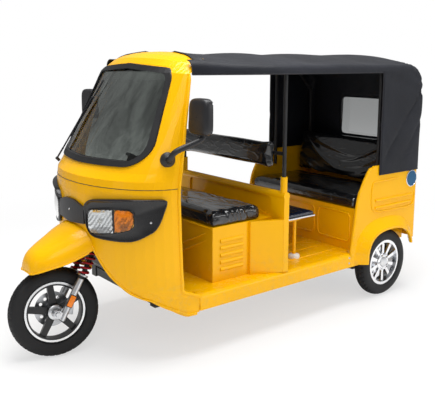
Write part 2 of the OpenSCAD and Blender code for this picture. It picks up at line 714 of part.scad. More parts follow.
module tail_lamps() color("#a01414") from_axle() both_sides()
    translate([-tail_overhang - lamp_proud, 0, 0]) rotate([90, 0, 90]) linear_extrude(lamp_proud - seam)
        round_box2([half_w - 190, 480], [half_w - 60, 600], 18);

// Canopy: arched section, rounded at the rear, open at the sides ahead of the quarters
arch_rise_r = 2030;
canopy_half = half_w + canopy_t + seam;
canopy_shoulder_r = 50;
// The section is this much wider than the plan, so that the plan cuts its shoulders in a real edge
section_over = 1.5;
module canopy_section(in) {
    big = arch_rise_r - in;
    half = canopy_half + section_over - in;
    r = canopy_shoulder_r - in;
    low = quarter_z - (in > 0 ? 10 : 0);
    base = roof_z - arch_rise_r;
    shoulder_y = half - r;
    shoulder_z = base + sqrt(pow(big - r, 2) - pow(shoulder_y, 2));
    touch_y = big * shoulder_y / (big - r);
    translate([-half, low]) square([2 * half, shoulder_z - low]);
    for (s = [-1, 1]) translate([s * shoulder_y, shoulder_z]) circle(r, $fn = 64);
    intersection() {
        translate([0, base]) circle(big, $fn = 96);
        translate([-touch_y, low]) square([2 * touch_y, 2000]);
    }
}
canopy_back_r = 230;
canopy_corner_r = tail_corner_r + canopy_t;
canopy_back_x = -tail_overhang - canopy_t - seam;
canopy_front_x = wheelbase - 610;
canopy_front_half = half_w - 70;
canopy_taper_x = wheelbase - 1120;
canopy_slope = (canopy_half - canopy_front_half) / (canopy_front_x - canopy_taper_x);
canopy_notch_x = wheelbase - 716;
canopy_notch_half = half_w - 104;
module canopy_side(in) {
    r = canopy_back_r - in;
    x = canopy_back_x + in;
    top = roof_z - in;
    translate([x, quarter_z - 20]) square([3000, top - r - quarter_z + 20]);
    translate([x + r, quarter_z - 20]) square([3000, top - quarter_z + 20]);
    translate([x + r, top - r]) circle(r, $fn = 96);
}
module canopy_block(in) intersection() {
    front_plate(-1000, 3000) canopy_section(in);
    side_plate(0, 2000) canopy_side(in);
    translate([0, 0, 500]) linear_extrude(1500) intersection() {
        round_box2([canopy_back_x + in, in - canopy_half], [3000, canopy_half - in], canopy_corner_r - in);
        canopy_taper(canopy_half - in, 1000);
    }
}
// Plan that narrows towards the cab: a long trapezium, of the given half width where the narrowing begins
module canopy_taper(half, back) {
    wide = half + canopy_slope * (canopy_taper_x + back);
    narrow = half - canopy_slope * (canopy_front_x + 100 - canopy_taper_x);
    polygon([[-back, -wide], [canopy_front_x + 100, -narrow], [canopy_front_x + 100, narrow], [-back, wide]]);
}
rear_window_half = 205;
rear_window_z = [1050, 1340];
module canopy() color(canopy_dark) from_axle() difference() {
    canopy_block(0);
    canopy_block(canopy_t);
    translate([quarter_x, -1000, 0]) cube([3000, 2000, valance_z]);
    translate([canopy_front_x, -1000, 0]) cube([3000, 2000, 3000]);
    translate([canopy_notch_x, -canopy_notch_half, 0]) cube([3000, 2 * canopy_notch_half, 3000]);
    front_plate(-1000, 0) window_outline(0);
}
module window_outline(in) round_box2(
    [-rear_window_half + in, rear_window_z[0] + in], [rear_window_half - in, rear_window_z[1] - in], 20);
module rear_window() color("#9fb4b8", 0.5) from_axle()
    front_plate(canopy_back_x + 2, canopy_back_x + 5) window_outline(seam);

// Roof frame: hoops under the canopy, side rails, middle and rear posts
post_r = tube_r - 1;
hoop_tube_r = tube_r - 2;
module roof_frame() color(frame_black) from_axle() {
    hoop_r = arch_rise_r - canopy_t - hoop_tube_r - seam;
    base = roof_z - arch_rise_r;
    hoop_z = function(y) base + sqrt(pow(hoop_r, 2) - pow(y, 2));
    rail_z = hoop_z(post_y) - (tube_r - hoop_tube_r) - 1;
    front_x = canopy_notch_x - 30;
    front_half = canopy_notch_half + 4;
    front_end = [front_x + 14, front_half - 3, hoop_z(front_half) - 2];
    back_x = canopy_back_x + canopy_back_r + 12;
    rail_end_x = bulkhead_x + 60;
    back_bend = [-tail_overhang + 50, post_y - 12, 1380];
    back_foot = [back_bend.x, back_bend.y, side_top_z - 120];
    hoops = [
        // place fore and aft, half width
        [front_x, front_half], [bulkhead_x, post_y], [(bulkhead_x + back_x) / 2, post_y], [back_x, post_y]
    ];
    for (hoop = hoops) let (half_angle = asin(hoop[1] / hoop_r))
        translate([hoop[0], 0, base]) rotate([90, 0, 90]) rotate([0, 0, 90 - half_angle])
            rotate_extrude(angle = 2 * half_angle, $fn = 96)
                translate([hoop_r, 0]) circle(hoop_tube_r, $fn = 32);
    both_sides() {
        translate([back_x - tube_r, post_y, rail_z]) rotate([0, 90, 0])
            cylinder(h = rail_end_x - back_x + tube_r, r = tube_r, $fn = 32);
        rod([bulkhead_x + 30, post_y, rail_z], front_end, post_r - 0.5);
        for (p = [[bulkhead_x, post_y, bulkhead_z - 38], [quarter_x - 30, post_y - 4, side_top_z - 120]])
            translate(p) cylinder(h = rail_z - p.z, r = post_r, $fn = 32);
        rod([back_x, post_y, rail_z], back_bend + [-3, -0.4, -6], post_r - 1);
        rod(back_foot, back_bend + [0, 0, 14], post_r);
    }
    translate([bulkhead_x, post_y, backrest_z + 90]) rotate([90, 0, 0])
        cylinder(h = 2 * post_y, r = post_r - 1, $fn = 32);
}

module rear_axle() color("#3c3d40") from_axle() translate([0, 0, rear_r]) {
    tube_half = rear_wheel_y - 74;
    drum_y = rear_wheel_y - 62;
    gear_w = 150;
    translate([0, tube_half, 0]) rotate([90, 0, 0]) cylinder(h = 2 * tube_half, r = 32, $fn = 48);
    both_sides() translate([0, drum_y, 0]) rotate([90, 0, 0]) cylinder(h = 14, r = 100, $fn = 64);
    both_sides() translate([0, rear_wheel_y + 40, 0]) rotate([90, 0, 0])
        cylinder(h = rear_wheel_y + 40 - tube_half + 6, r = rear_stub_r, $fn = 48);
    translate([0, gear_w / 2, 0]) rotate([90, 0, 0]) cylinder(h = gear_w, r = 100, $fn = 64);
    both_sides() translate([-35, rail_y - 26, -38]) cube([70, 52, 30]);
    translate([-220, -110, -80]) cube([170, 220, 160]);
}

leaf_w = 45;
module leaf_springs() color("#2a2a2c") from_axle() both_sides() {
    bend_r = 1000;
    leaf_t = 8;
    centre_z = rear_r - 38 - seam + bend_r - leaf_t * 3;
    side_plate(rail_y, leaf_w) for (k = [0 : 2]) intersection() {
        translate([0, centre_z]) difference() {
            circle(bend_r + leaf_t * k, $fn = 96);
            circle(bend_r + leaf_t * (k - 1), $fn = 96);
        }
        translate([-290 + 80 * k, 0]) square([580 - 160 * k, rear_r]);
    }
    for (x = [-285, 285]) {
        translate([x, rail_y + leaf_w / 2, rear_r - 8]) rotate([90, 0, 0])
            cylinder(h = leaf_w, r = 16, $fn = 32);
        translate([x - 12, rail_y - leaf_w / 2, rear_r - 8]) cube([24, leaf_w, rail_z - rear_r + 8 - seam]);
    }
}

// Fork: yoke and stem, sliders, springs, axle, caliper and handlebar
yoke_low = 396;
yoke_t = 26;
tube_low = 150;
bar_s = 945;
module fork_yoke() color(frame_black) from_axle() steered() {
    translate([-fork_offset, 0, yoke_low]) cylinder(h = bar_s - yoke_low, r = stem_r, $fn = 64);
    translate([0, 0, yoke_low]) linear_extrude(yoke_t) hull() {
        translate([-fork_offset, 0]) circle(34, $fn = 32);
        for (s = [-1, 1]) translate([-leg_setback, s * leg_y]) circle(26, $fn = 32);
    }
    both_sides() translate([-leg_setback, leg_y, tube_low])
        cylinder(h = yoke_low - tube_low + 2, r = fork_tube_r, $fn = 48);
    translate([-fork_offset, 0, head_high + 4]) cylinder(h = 14, r = stem_r + 12, $fn = 6);
}

fork_tube_r = 13;
slider_r = 19;
slider_top = 246;
slider_low = -22;
lug_r = 22;
bracket_y = leg_y - slider_r + 1;
bracket_t = 8;
module fork_legs() color(bright_metal) from_axle() steered()
    for (side = [0, 1]) mirror([0, side, 0]) fork_leg(side == 1);
module fork_leg(with_bracket) difference() {
    union() {
        if (with_bracket) side_plate(bracket_y + bracket_t / 2, bracket_t)
            polygon([[-leg_setback, 2], [-leg_setback, 70], [-70, 74], [-112, 52], [-98, 8]]);
        translate([-leg_setback, leg_y, slider_low])
            cylinder(h = slider_top - slider_low, r = slider_r, $fn = 48);
        translate([-leg_setback, leg_y, slider_top - 8]) cylinder(h = 8, r = 32, $fn = 48);
        translate([0, leg_y + slider_r - 3, 0]) rotate([90, 0, 0])
            cylinder(h = 2 * slider_r - 6, r = lug_r, $fn = 48);
        translate([-leg_setback, leg_y - slider_r + 5, -lug_r + 4])
            cube([leg_setback, 2 * slider_r - 10, 2 * lug_r - 8]);
    }
    translate([-leg_setback, leg_y, tube_low - 10]) cylinder(h = 300, r = fork_tube_r + seam, $fn = 48);
    translate([0, leg_y + 60, 0]) rotate([90, 0, 0]) cylinder(h = 120, r = front_axle_r + run_gap, $fn = 48);
}

// Coil spring as a swept ring of points
spring_turns = 5;
spring_steps = 12;
spring_sides = 6;
spring_wire = 5.5;
spring_mean = 25;
module coil(low, high) {
    count = spring_turns * spring_steps;
    rise = high - low - 2 * spring_wire;
    points = [for (i = [0 : count]) let (a = i * 360 / spring_steps) for (k = [0 : spring_sides - 1]) let (
        b = k * 360 / spring_sides, r = spring_mean + spring_wire * cos(b)
    ) [r * cos(a), r * sin(a), low + spring_wire * (1 + sin(b)) + rise * i / count]];
    faces = [
        for (i = [0 : count - 1], k = [0 : spring_sides - 1]) let (
            n = (k + 1) % spring_sides, p = i * spring_sides, q = p + spring_sides
        ) each [[p + k, p + n, q + n], [p + k, q + n, q + k]],
        [for (k = [spring_sides - 1 : -1 : 0]) k],
        [for (k = [0 : spring_sides - 1]) count * spring_sides + k]
    ];
    polyhedron(points, faces);
}
module fork_springs() color("#a3161c") from_axle() steered() both_sides()
    translate([-leg_setback, leg_y, 0]) coil(slider_top + seam, yoke_low - seam);

module front_axle() color(bright_metal) from_axle() steered() {
    end_y = leg_y + 30;
    translate([0, end_y, 0]) rotate([90, 0, 0]) cylinder(h = 2 * end_y, r = front_axle_r, $fn = 48);
    both_sides() translate([0, end_y, 0]) rotate([90, 0, 0]) cylinder(h = 10, r = 15, $fn = 6);
}

// The disc and its caliper stand at the wheel's right side
disc_y = 52;
disc_r = 98;
caliper_turn = -70;
module brake_caliper() color("#55575c") from_axle() steered() mirror([0, 1, 0]) rotate([0, caliper_turn, 0])
    difference() {
        translate([-30, disc_y - 14, 66]) cube([60, bracket_y - seam - disc_y + 14, 52]);
        translate([-60, disc_y - 7, 40]) cube([120, 14, disc_r - 40 + 5]);
    }

module handlebar() color(trim_black) from_axle() steered() translate([-fork_offset, 0, bar_s]) {
    bend = [-20, 190, 45];
    tip = [-110, 340, 60];
    grip = bend + (tip - bend) * 0.35;
    difference() {
        translate([0, 0, -20]) cylinder(h = 50, r = 32, $fn = 48);
        translate([0, 0, -21]) cylinder(h = 21 + seam, r = stem_r + seam, $fn = 48);
    }
    both_sides() {
        rod([0, 8, 15], bend, 11);
        translate(bend) sphere(12, $fn = 32);
        rod(bend, tip, 11);
        rod(grip, tip + (tip - bend) * 0.03, 17);
        rod(grip + [26, 0, 0], tip + [40, -20, 0], 5);
        rod(grip + [28, 0, 0], grip - [0, 10, 0], 9);
    }
}

// Tyre section, cut back where the rim's lips stand
module tyre(r, w, bead_r, lip_r, rim_half) {
    side = w / 2;
    bead_half = rim_half - 6 - seam;
    rotate([90, 0, 0]) rotate_extrude($fn = 96) difference() {
        union() {
            translate([r - side, 0]) circle(side, $fn = 64);
            translate([bead_r + seam, -bead_half]) square([r - side - bead_r, 2 * bead_half]);
            polygon([[lip_r, -bead_half], [r - side, -side], [r - side, side], [lip_r, bead_half]]);
        }
        translate([0, -w]) square([bead_r + seam, 2 * w]);
        for (s = [-1, 1]) translate([0, s * (bead_half + w / 2) - w / 2]) square([lip_r + 1.5, w]);
    }
}
module rim_ring(bead_r, lip_r, rim_half) rotate([90, 0, 0]) rotate_extrude($fn = 96) polygon([
    [bead_r - 7, -rim_half], [lip_r, -rim_half], [lip_r, -rim_half + 4], [bead_r, -rim_half + 6],
    [bead_r, rim_half - 6], [lip_r, rim_half - 4], [lip_r, rim_half], [bead_r - 7, rim_half]
]);

// Spokes round a wheel's axis, drawn out along Y from y0 to y1: half widths at the hub and the rim
module spokes(count, y0, y1, hub_half, rim_half, from_r, to_r) for (k = [0 : count - 1])
    rotate([0, k * 360 / count, 0]) translate([0, y0, 0]) rotate([-90, 0, 0]) linear_extrude(y1 - y0)
        polygon([[-hub_half, from_r], [hub_half, from_r], [rim_half, to_r], [-rim_half, to_r]]);

front_rim_half = 31;
front_hub = [42, 38];
module front_rim() color(cast_black) from_axle() steered() difference() {
    union() {
        rim_ring(front_bead_r, front_lip_r, front_rim_half);
        rotate([90, 0, 0]) translate([0, 0, -front_hub[1]])
            cylinder(h = 2 * front_hub[1], r = front_hub[0], $fn = 64);
        spokes(front_spokes, -10, 16, 20, 17, 30, front_bead_r - 4);
    }
    rotate([90, 0, 0]) translate([0, 0, -100]) cylinder(h = 200, r = front_axle_r + run_gap, $fn = 48);
}
module front_tyre() color(rubber_black) from_axle() steered()
    tyre(front_r, front_tyre_w, front_bead_r, front_lip_r, front_rim_half);
module brake_disc() color("#8c8f94") from_axle() steered() rotate([90, 0, 0]) difference() {
    union() {
        translate([0, 0, disc_y - 2]) cylinder(h = 4, r = disc_r, $fn = 64);
        translate([0, 0, front_hub[1] + seam]) cylinder(h = disc_y - front_hub[1] - seam, r = 36, $fn = 48);
    }
    translate([0, 0, 30]) cylinder(h = 40, r = front_axle_r + run_gap, $fn = 48);
    for (k = [0 : 11]) rotate([0, 0, 30 * k]) translate([70, 0, 30]) cylinder(h = 40, r = 9, $fn = 24);
}

rear_rim_half = 40;
module rear_rim() difference() {
    union() {
        rim_ring(rear_bead_r, rear_lip_r, rear_rim_half);
        rotate([-90, 0, 0]) translate([0, 0, -40]) cylinder(h = 72, r = 34, $fn = 64);
        rotate([-90, 0, 0]) translate([0, 0, -54]) cylinder(h = 30, r = 98, $fn = 64);
        spokes(rear_spokes, 10, 26, 9, 12, 20, rear_bead_r - 4);
    }
    rotate([-90, 0, 0]) translate([0, 0, -100]) cylinder(h = 200, r = rear_stub_r + run_gap, $fn = 48);
}
module at_rear_left() translate([0, rear_wheel_y, rear_r]) children();
module at_rear_right() mirror([0, 1, 0]) at_rear_left() children();
module rear_rim_left() color(bright_metal) from_axle() at_rear_left() rear_rim();
module rear_rim_right() color(bright_metal) from_axle() at_rear_right() rear_rim();
module rear_tyre_left() color(rubber_black) from_axle() at_rear_left()
    tyre(rear_r, rear_tyre_w, rear_bead_r, rear_lip_r, rear_rim_half);
module rear_tyre_right() color(rubber_black) from_axle() at_rear_right()
    tyre(rear_r, rear_tyre_w, rear_bead_r, rear_lip_r, rear_rim_half);

chassis_rails();
cross_members();
steering_head();
floor_pan();
cab_nose();
cab_upper();
windscreen_gasket();
windscreen();
wiper();
headlamp_bezels();
headlamp_lenses();
indicator_lenses();
fascia_trim();
front_mudguard();
arch_liner();
dashboard();
brake_pedal();
mirrors();
mirror_glass();
seat_box();
battery_block();
driver_cushion();
driver_backrest();
bulkhead();
jump_bracket();
bench_base();
bench_cushion();
bench_backrest();
rear_side_left();
rear_side_right();
tail_panel();
tail_lamps();
roof_frame();
canopy();
rear_window();
rear_axle();
leaf_springs();
fork_yoke();
fork_legs();
fork_springs();
front_axle();
brake_caliper();
handlebar();
front_rim();
front_tyre();
brake_disc();
rear_rim_left();
rear_tyre_left();
rear_rim_right();
rear_tyre_right();
jump_seat();
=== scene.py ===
import math

import bmesh
import bpy
import numpy as np
from mathutils import Matrix, Vector
from mathutils.bvhtree import BVHTree


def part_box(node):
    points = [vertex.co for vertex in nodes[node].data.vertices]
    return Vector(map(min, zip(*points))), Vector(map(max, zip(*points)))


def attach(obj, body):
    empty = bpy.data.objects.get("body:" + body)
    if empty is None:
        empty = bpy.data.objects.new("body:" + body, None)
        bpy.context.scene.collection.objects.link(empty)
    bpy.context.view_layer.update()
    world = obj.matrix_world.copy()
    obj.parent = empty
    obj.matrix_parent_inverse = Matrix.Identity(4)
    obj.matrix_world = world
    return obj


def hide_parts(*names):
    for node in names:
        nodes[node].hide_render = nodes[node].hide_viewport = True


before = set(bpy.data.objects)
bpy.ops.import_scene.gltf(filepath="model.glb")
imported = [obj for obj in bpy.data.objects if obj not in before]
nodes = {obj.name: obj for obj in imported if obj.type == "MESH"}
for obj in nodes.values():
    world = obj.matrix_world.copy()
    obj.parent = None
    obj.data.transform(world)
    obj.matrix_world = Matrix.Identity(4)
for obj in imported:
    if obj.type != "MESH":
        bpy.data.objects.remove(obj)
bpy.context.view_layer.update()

# Middle of the part ahead of the rear axle, in metres: the drawing's X = 0 is the rear axle
MID_X = 1.0412227


def at(x, y, z):
    """Point in the frame from millimetres measured ahead of the rear axle."""
    return Vector((x / 1000 - MID_X, y / 1000, z / 1000))


# Shader maths


def arithmetic(operation, swapped=False):
    """Method that joins a socket and another value in a Math node."""

    def method(self, other):
        return self.graph.math(operation, *((other, self) if swapped else (self, other)))

    return method


class Value:
    """A shader socket that takes part in arithmetic."""

    def __init__(self, graph, socket):
        self.graph = graph
        self.socket = socket

    __add__, __radd__ = arithmetic("ADD"), arithmetic("ADD", True)
    __sub__, __rsub__ = arithmetic("SUBTRACT"), arithmetic("SUBTRACT", True)
    __mul__, __rmul__ = arithmetic("MULTIPLY"), arithmetic("MULTIPLY", True)

    def step(self, low, high):
        """0 below low and 1 above high, with a smooth rise between them."""
        return self.graph.node("ShaderNodeMapRange", self, low, high, output="Result",
                               settings={"interpolation_type": "SMOOTHSTEP"})


class Graph:
    """One material: a Principled shader with whatever nodes feed it."""

    def __init__(self, name, color=(0.5, 0.5, 0.5), **constants):
        self.material = bpy.data.materials.new(name)
        self.material.use_nodes = True
        self.tree = self.material.node_tree
        self.shader = self.tree.nodes["Principled BSDF"]
        self.shader.inputs["Base Color"].default_value = (*color, 1)
        for key, value in constants.items():
            self.shader.inputs[key.replace("_", " ")].default_value = value
        self.place = Value(self, self.tree.nodes.new("ShaderNodeTexCoord").outputs["Object"])

    def plug(self, value, slot):
        if isinstance(value, Value):
            self.tree.links.new(value.socket, slot)
        else:
            slot.default_value = value

    def node(self, kind, *values, output=0, settings=None, **inputs):
        """Any other node: values for its sockets in order, inputs by name, settings for its own fields."""
        node = self.tree.nodes.new(kind)
        for key, value in (settings or {}).items():
            setattr(node, key, value)
        for slot, value in [*zip(node.inputs, values), *((node.inputs[k], v) for k, v in inputs.items())]:
            self.plug(value, slot)
        return Value(self, node.outputs[output])

    def math(self, operation, *values):
        return self.node("ShaderNodeMath", *values, settings={"operation": operation})

    def vector(self, operation, *values, output=0):
        return self.node("ShaderNodeVectorMath", *values, output=output, settings={"operation": operation})

    def axes(self):
        node = self.tree.nodes.new("ShaderNodeSeparateXYZ")
        self.plug(self.place, node.inputs[0])
        return [Value(self, out) for out in node.outputs]

    def noise(self, scale, detail=2.0, roughness=0.5, stretch=None, distortion=0.0):
        where = self.place
        if stretch:
            where = self.node("ShaderNodeMapping", Vector=where, Scale=stretch)
        return self.node("ShaderNodeTexNoise", Vector=where, Scale=scale, Detail=detail,
                         Roughness=roughness, Distortion=distortion)

    def mix(self, factor, low, high):
        """Colour between low and high."""
        node = self.tree.nodes.new("ShaderNodeMix")
        node.data_type = "RGBA"
        colours = [slot for slot in node.inputs if slot.type == "RGBA"]
        self.plug(factor, node.inputs[0])
        for slot, value in zip(colours, (low, high)):
            self.plug(value if isinstance(value, Value) else (*value, 1), slot)
        return Value(self, next(out for out in node.outputs if out.type == "RGBA"))

    def bump(self, height, strength, distance, **under):
        return self.node("ShaderNodeBump", Strength=strength, Distance=distance, Height=height, **under)

    def feed(self, **sockets):
        for key, value in sockets.items():
            self.plug(value, self.shader.inputs[key.replace("_", " ")])
        return self.material


def make_paint(name, color, dusty):
    """Glossy enamel with a trace of orange peel, uneven tone and road dust low down."""
    g = Graph(name, color, Coat_Weight=0.12, Coat_Roughness=0.05, Specular_IOR_Level=0.16)
    tone = g.noise(3.0, 3).step(0.3, 0.75)
    base = g.mix(tone * 0.35, color, tuple(c * 0.86 for c in color))
    low = 1 - g.axes()[2].step(0.25, 0.62)
    dust = g.noise(24, 5, 0.65).step(0.45, 0.8) * low * dusty
    return g.feed(
        Base_Color=g.mix(dust, base, (0.42, 0.27, 0.09)),
        Roughness=0.22 + dust * 0.4 + g.noise(40, 3) * 0.06,
        Normal=g.bump(g.noise(160, 2), 0.035, 0.002),
    )


def make_plastic(name, color, rough, grain=700):
    """Moulded plastic with a fine grain and slightly worn sheen."""
    g = Graph(name, color, Specular_IOR_Level=0.4)
    wear = g.noise(9, 4, 0.6)
    return g.feed(
        Base_Color=g.mix(wear.step(0.35, 0.8) * 0.6, color, tuple(c * 1.6 + 0.004 for c in color)),
        Roughness=rough + wear * 0.14,
        Normal=g.bump(g.noise(grain, 2), 0.12, 0.0006),
    )


def make_metal(name, color, rough, metallic=1.0):
    """Metal with a little smear in its tone and sheen."""
    g = Graph(name, color, Metallic=metallic)
    smear = g.noise(30, 4, 0.6)
    return g.feed(
        Base_Color=g.mix(smear.step(0.45, 0.85) * 0.35, color, tuple(c * 0.72 for c in color)),
        Roughness=rough + smear * 0.12,
        Normal=g.bump(g.noise(420, 2), 0.03, 0.0005),
    )


def make_tyre():
    """Dull rubber with pale scuffs."""
    g = Graph("tyre_rubber", (0.012, 0.012, 0.013), Specular_IOR_Level=0.35)
    scuff = g.noise(18, 5, 0.7).step(0.4, 0.8)
    return g.feed(
        Base_Color=g.mix(scuff * 0.55, (0.007, 0.007, 0.008), (0.024, 0.023, 0.022)),
        Roughness=0.56 + scuff * 0.2,
        Normal=g.bump(g.noise(500, 3), 0.1, 0.0008),
    )


def make_canopy():
    """Coated tarpaulin: a close weave under a satin skin, with soft creases."""
    g = Graph("canopy_tarpaulin", (0.017, 0.019, 0.028), Sheen_Weight=0.05, Specular_IOR_Level=0.22)
    x, y, z = g.axes()
    thread = 2600.0
    weave = g.math("SINE", x * thread) * g.math("SINE", (y + z) * thread)
    creases = g.noise(7, 4, 0.55, distortion=1.4)
    fade = g.noise(2.2, 3).step(0.35, 0.75)
    soft = g.bump(creases, 0.25, 0.012)
    return g.feed(
        Base_Color=g.mix(fade * 0.7, (0.0055, 0.0065, 0.0105), (0.013, 0.0145, 0.022)),
        Roughness=0.44 + creases * 0.2,
        Normal=g.bump(weave, 0.12, 0.0004, Normal=soft),
    )


def make_film(name, color):
    """Black vinyl under clear packing film: dark and glossy, with long tight wrinkles whose ridges are bumped
    and lightened as a painted highlight.
    """
    g = Graph(name, color, Coat_Weight=0.6, Coat_Roughness=0.04, Specular_IOR_Level=0.5)
    folds = g.noise(7, 2, 0.45, stretch=(1.0, 0.55, 1.5), distortion=1.8)
    # Ridges along the wrinkles: they shape the bump, and in the colour they are a painted highlight
    crease_ridge_and_highlight = g.math("MAXIMUM", 1 - g.math("ABSOLUTE", folds - 0.5) * 16, 0.0)
    glare = g.noise(5, 3, 0.5).step(0.4, 0.7)
    return g.feed(
        Base_Color=g.mix(crease_ridge_and_highlight * 0.10, color, (0.08, 0.083, 0.09)),
        Roughness=0.13 + glare * 0.14,
        Normal=g.bump(g.noise(420, 3), 0.03, 0.0005, Normal=g.bump(crease_ridge_and_highlight, 0.30, 0.004)),
    )


def make_glass(name, color, rough=0.0, shade=0.0):
    """Clear sheet with faint smears, and soft patches where its tint deepens as a painted reflection; shade is
    how far it deepens.
    """
    g = Graph(name, color, Transmission_Weight=1.0, IOR=1.45)
    smudge = g.noise(6, 4, 0.6).step(0.5, 0.9)
    # Soft patches of deeper tint, drawn out upright: a painted reflection
    painted_reflection_patch = g.noise(3.2, 4, 0.6, stretch=(1.0, 2.2, 0.8), distortion=0.8).step(0.34, 0.68)
    return g.feed(
        Base_Color=g.mix(painted_reflection_patch * shade, color, tuple(c * 0.35 for c in color)),
        Roughness=rough + smudge * 0.03,
    )


def make_rim(name, hub, axle, lip_r, dark, bright):
    """Painted alloy with a machined bright lip, told apart by distance from the axle."""
    g = Graph(name, dark, Specular_IOR_Level=0.5)
    across = g.vector("CROSS_PRODUCT", g.vector("SUBTRACT", g.place, hub), axle)
    radius = g.vector("LENGTH", across, output="Value")
    shine = radius.step(lip_r - 0.012, lip_r - 0.010)
    return g.feed(
        Base_Color=g.mix(shine, dark, bright),
        Metallic=shine,
        Roughness=0.34 - shine * 0.12 + g.noise(60, 3) * 0.08,
        Normal=g.bump(g.noise(420, 2), 0.05, 0.0005),
    )


YELLOW = (0.93, 0.47, 0.0)
paint = make_paint("yellow_enamel", YELLOW, 0.35)
plastic = make_plastic("black_plastic", (0.012, 0.012, 0.014), 0.34)
rubber = make_plastic("gasket_rubber", (0.010, 0.010, 0.011), 0.46, 300)
powder = make_plastic("black_powder_coat", (0.011, 0.011, 0.012), 0.38, 260)
tyre_rubber = make_tyre()
tarpaulin = make_canopy()
film = make_film("wrapped_vinyl", (0.008, 0.0085, 0.010))
blue_vinyl = make_film("wrapped_blue_vinyl", (0.010, 0.014, 0.032))
chrome = make_metal("bright_rim", (0.80, 0.81, 0.83), 0.10)
alloy = make_metal("cast_alloy", (0.66, 0.67, 0.69), 0.26)
webbing = make_plastic("canopy_webbing", (0.010, 0.010, 0.014), 0.6, 900)
steel = make_metal("machined_steel", (0.50, 0.51, 0.53), 0.24)
iron = make_metal("cast_iron", (0.07, 0.07, 0.075), 0.5, 0.7)
red_enamel = make_paint("red_enamel", (0.36, 0.012, 0.018), 0.0)
# The windscreen's tint deepens in soft patches: a painted reflection
glass = make_glass("windscreen_glass", (0.31, 0.345, 0.32), 0.0, 0.9)
clear_film = make_glass("clear_window_film", (0.88, 0.90, 0.90), 0.06)
lens_clear = make_glass("lens_clear", (0.97, 0.98, 0.98))
lens_amber = make_glass("lens_amber", (1.0, 0.50, 0.05), 0.05)
lens_red = make_glass("lens_red", (0.55, 0.01, 0.01), 0.05)
mirror = make_metal("mirror_silver", (0.86, 0.88, 0.90), 0.01)
gloss_black = make_plastic("gloss_black_plastic", (0.010, 0.010, 0.011), 0.16)
white_plastic = make_plastic("white_plastic", (0.70, 0.70, 0.68), 0.4)
reflector_chrome = make_metal("lamp_reflector", (0.58, 0.59, 0.60), 0.07)
bulb_glass = make_plastic("bulb_white", (0.80, 0.80, 0.78), 0.1)
reflector_amber = make_plastic("amber_reflector", (0.86, 0.22, 0.01), 0.12, 1500)
badge_blue = make_paint("blue_enamel", (0.020, 0.10, 0.21), 0.0)
case_grey = make_plastic("battery_case", (0.045, 0.047, 0.05), 0.5)

# Front wheel's middle, the way its axle points as parked, and the rim's radius
HUB = Vector((1.157732, -0.010352, 0.246173))
AXLE = Vector((0.199229, 0.973179, 0.115025))
FRONT_LIP = 0.166
front_alloy = make_rim("front_alloy", HUB, AXLE, FRONT_LIP, (0.012, 0.012, 0.014), (0.78, 0.79, 0.80))



def shade(mesh, sharp=None):
    """Smooth shading, broken at edges sharper than the given degrees."""
    mesh.polygons.foreach_set("use_smooth", [True] * len(mesh.polygons))
    if sharp:
        mesh.set_sharp_from_angle(angle=math.radians(sharp))


node_looks = {
    paint: ("floor_pan cab_nose cab_upper front_mudguard seat_box bulkhead jump_bracket bench_base "
            "rear_side_left rear_side_right tail_panel"),
    plastic: "wiper headlamp_bezels fascia_trim arch_liner dashboard brake_pedal mirrors handlebar",
    rubber: "windscreen_gasket",
    powder: "chassis_rails cross_members steering_head roof_frame fork_yoke leaf_springs",
    tyre_rubber: "front_tyre rear_tyre_left rear_tyre_right",
    tarpaulin: "canopy",
    film: "driver_cushion driver_backrest bench_cushion bench_backrest",
    blue_vinyl: "jump_seat",
    chrome: "rear_rim_left rear_rim_right",
    alloy: "fork_legs front_axle",
    steel: "brake_disc brake_caliper",
    iron: "rear_axle",
    red_enamel: "fork_springs",
    glass: "windscreen",
    clear_film: "rear_window",
    lens_clear: "headlamp_lenses",
    lens_amber: "indicator_lenses",
    lens_red: "tail_lamps",
    mirror: "mirror_glass",
    case_grey: "battery_block",
    front_alloy: "front_rim",
}
for look, names in node_looks.items():
    for name in names.split():
        mesh = nodes[name].data
        mesh.materials.clear()
        mesh.materials.append(look)
        shade(mesh, 32)


# Mesh making


def add_object(name, mesh, look):
    mesh.materials.append(look)
    obj = bpy.data.objects.new(name, mesh)
    bpy.context.scene.collection.objects.link(obj)
    return obj


def piece(name, verts, faces, look, body="chassis", smooth=True):
    """Object from points and faces, riding on a body unless that is None."""
    mesh = bpy.data.meshes.new(name)
    mesh.from_pydata([tuple(v) for v in verts], [], [tuple(f) for f in faces])
    if smooth:
        shade(mesh)
    mesh.update()
    obj = add_object(name, mesh, look)
    if body:
        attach(obj, body)
    return obj


def grid_faces(rows, columns, closed=False, start=0, ring=False):
    """Quads of points stored row by row; closed joins the last column to the first, ring the last row."""
    faces = []
    for i in range(rows if ring else rows - 1):
        here, onward = start + i * columns, start + (i + 1) % rows * columns
        for j in range(columns if closed else columns - 1):
            k = (j + 1) % columns
            faces.append((here + j, here + k, onward + k, onward + j))
    return faces


def weld(obj, distance=1e-5):
    work = bmesh.new()
    work.from_mesh(obj.data)
    bmesh.ops.remove_doubles(work, verts=work.verts, dist=distance)
    bmesh.ops.recalc_face_normals(work, faces=work.faces)
    work.to_mesh(obj.data)
    work.free()


def apply_modifiers(obj):
    graph = bpy.context.evaluated_depsgraph_get()
    mesh = bpy.data.meshes.new_from_object(obj.evaluated_get(graph))
    old = obj.data
    obj.modifiers.clear()
    obj.data = mesh
    bpy.data.meshes.remove(old)


def subdivide(obj, **settings):
    """Smooth a mesh by one step of subdivision."""
    sub = obj.modifiers.new("smooth", "SUBSURF")
    sub.levels = sub.render_levels = 1
    for key, value in settings.items():
        setattr(sub, key, value)
    apply_modifiers(obj)


def coordinates(mesh):
    return np.array([v.co for v in mesh.vertices])


def normals_of(mesh):
    return np.array([v.normal for v in mesh.vertices])


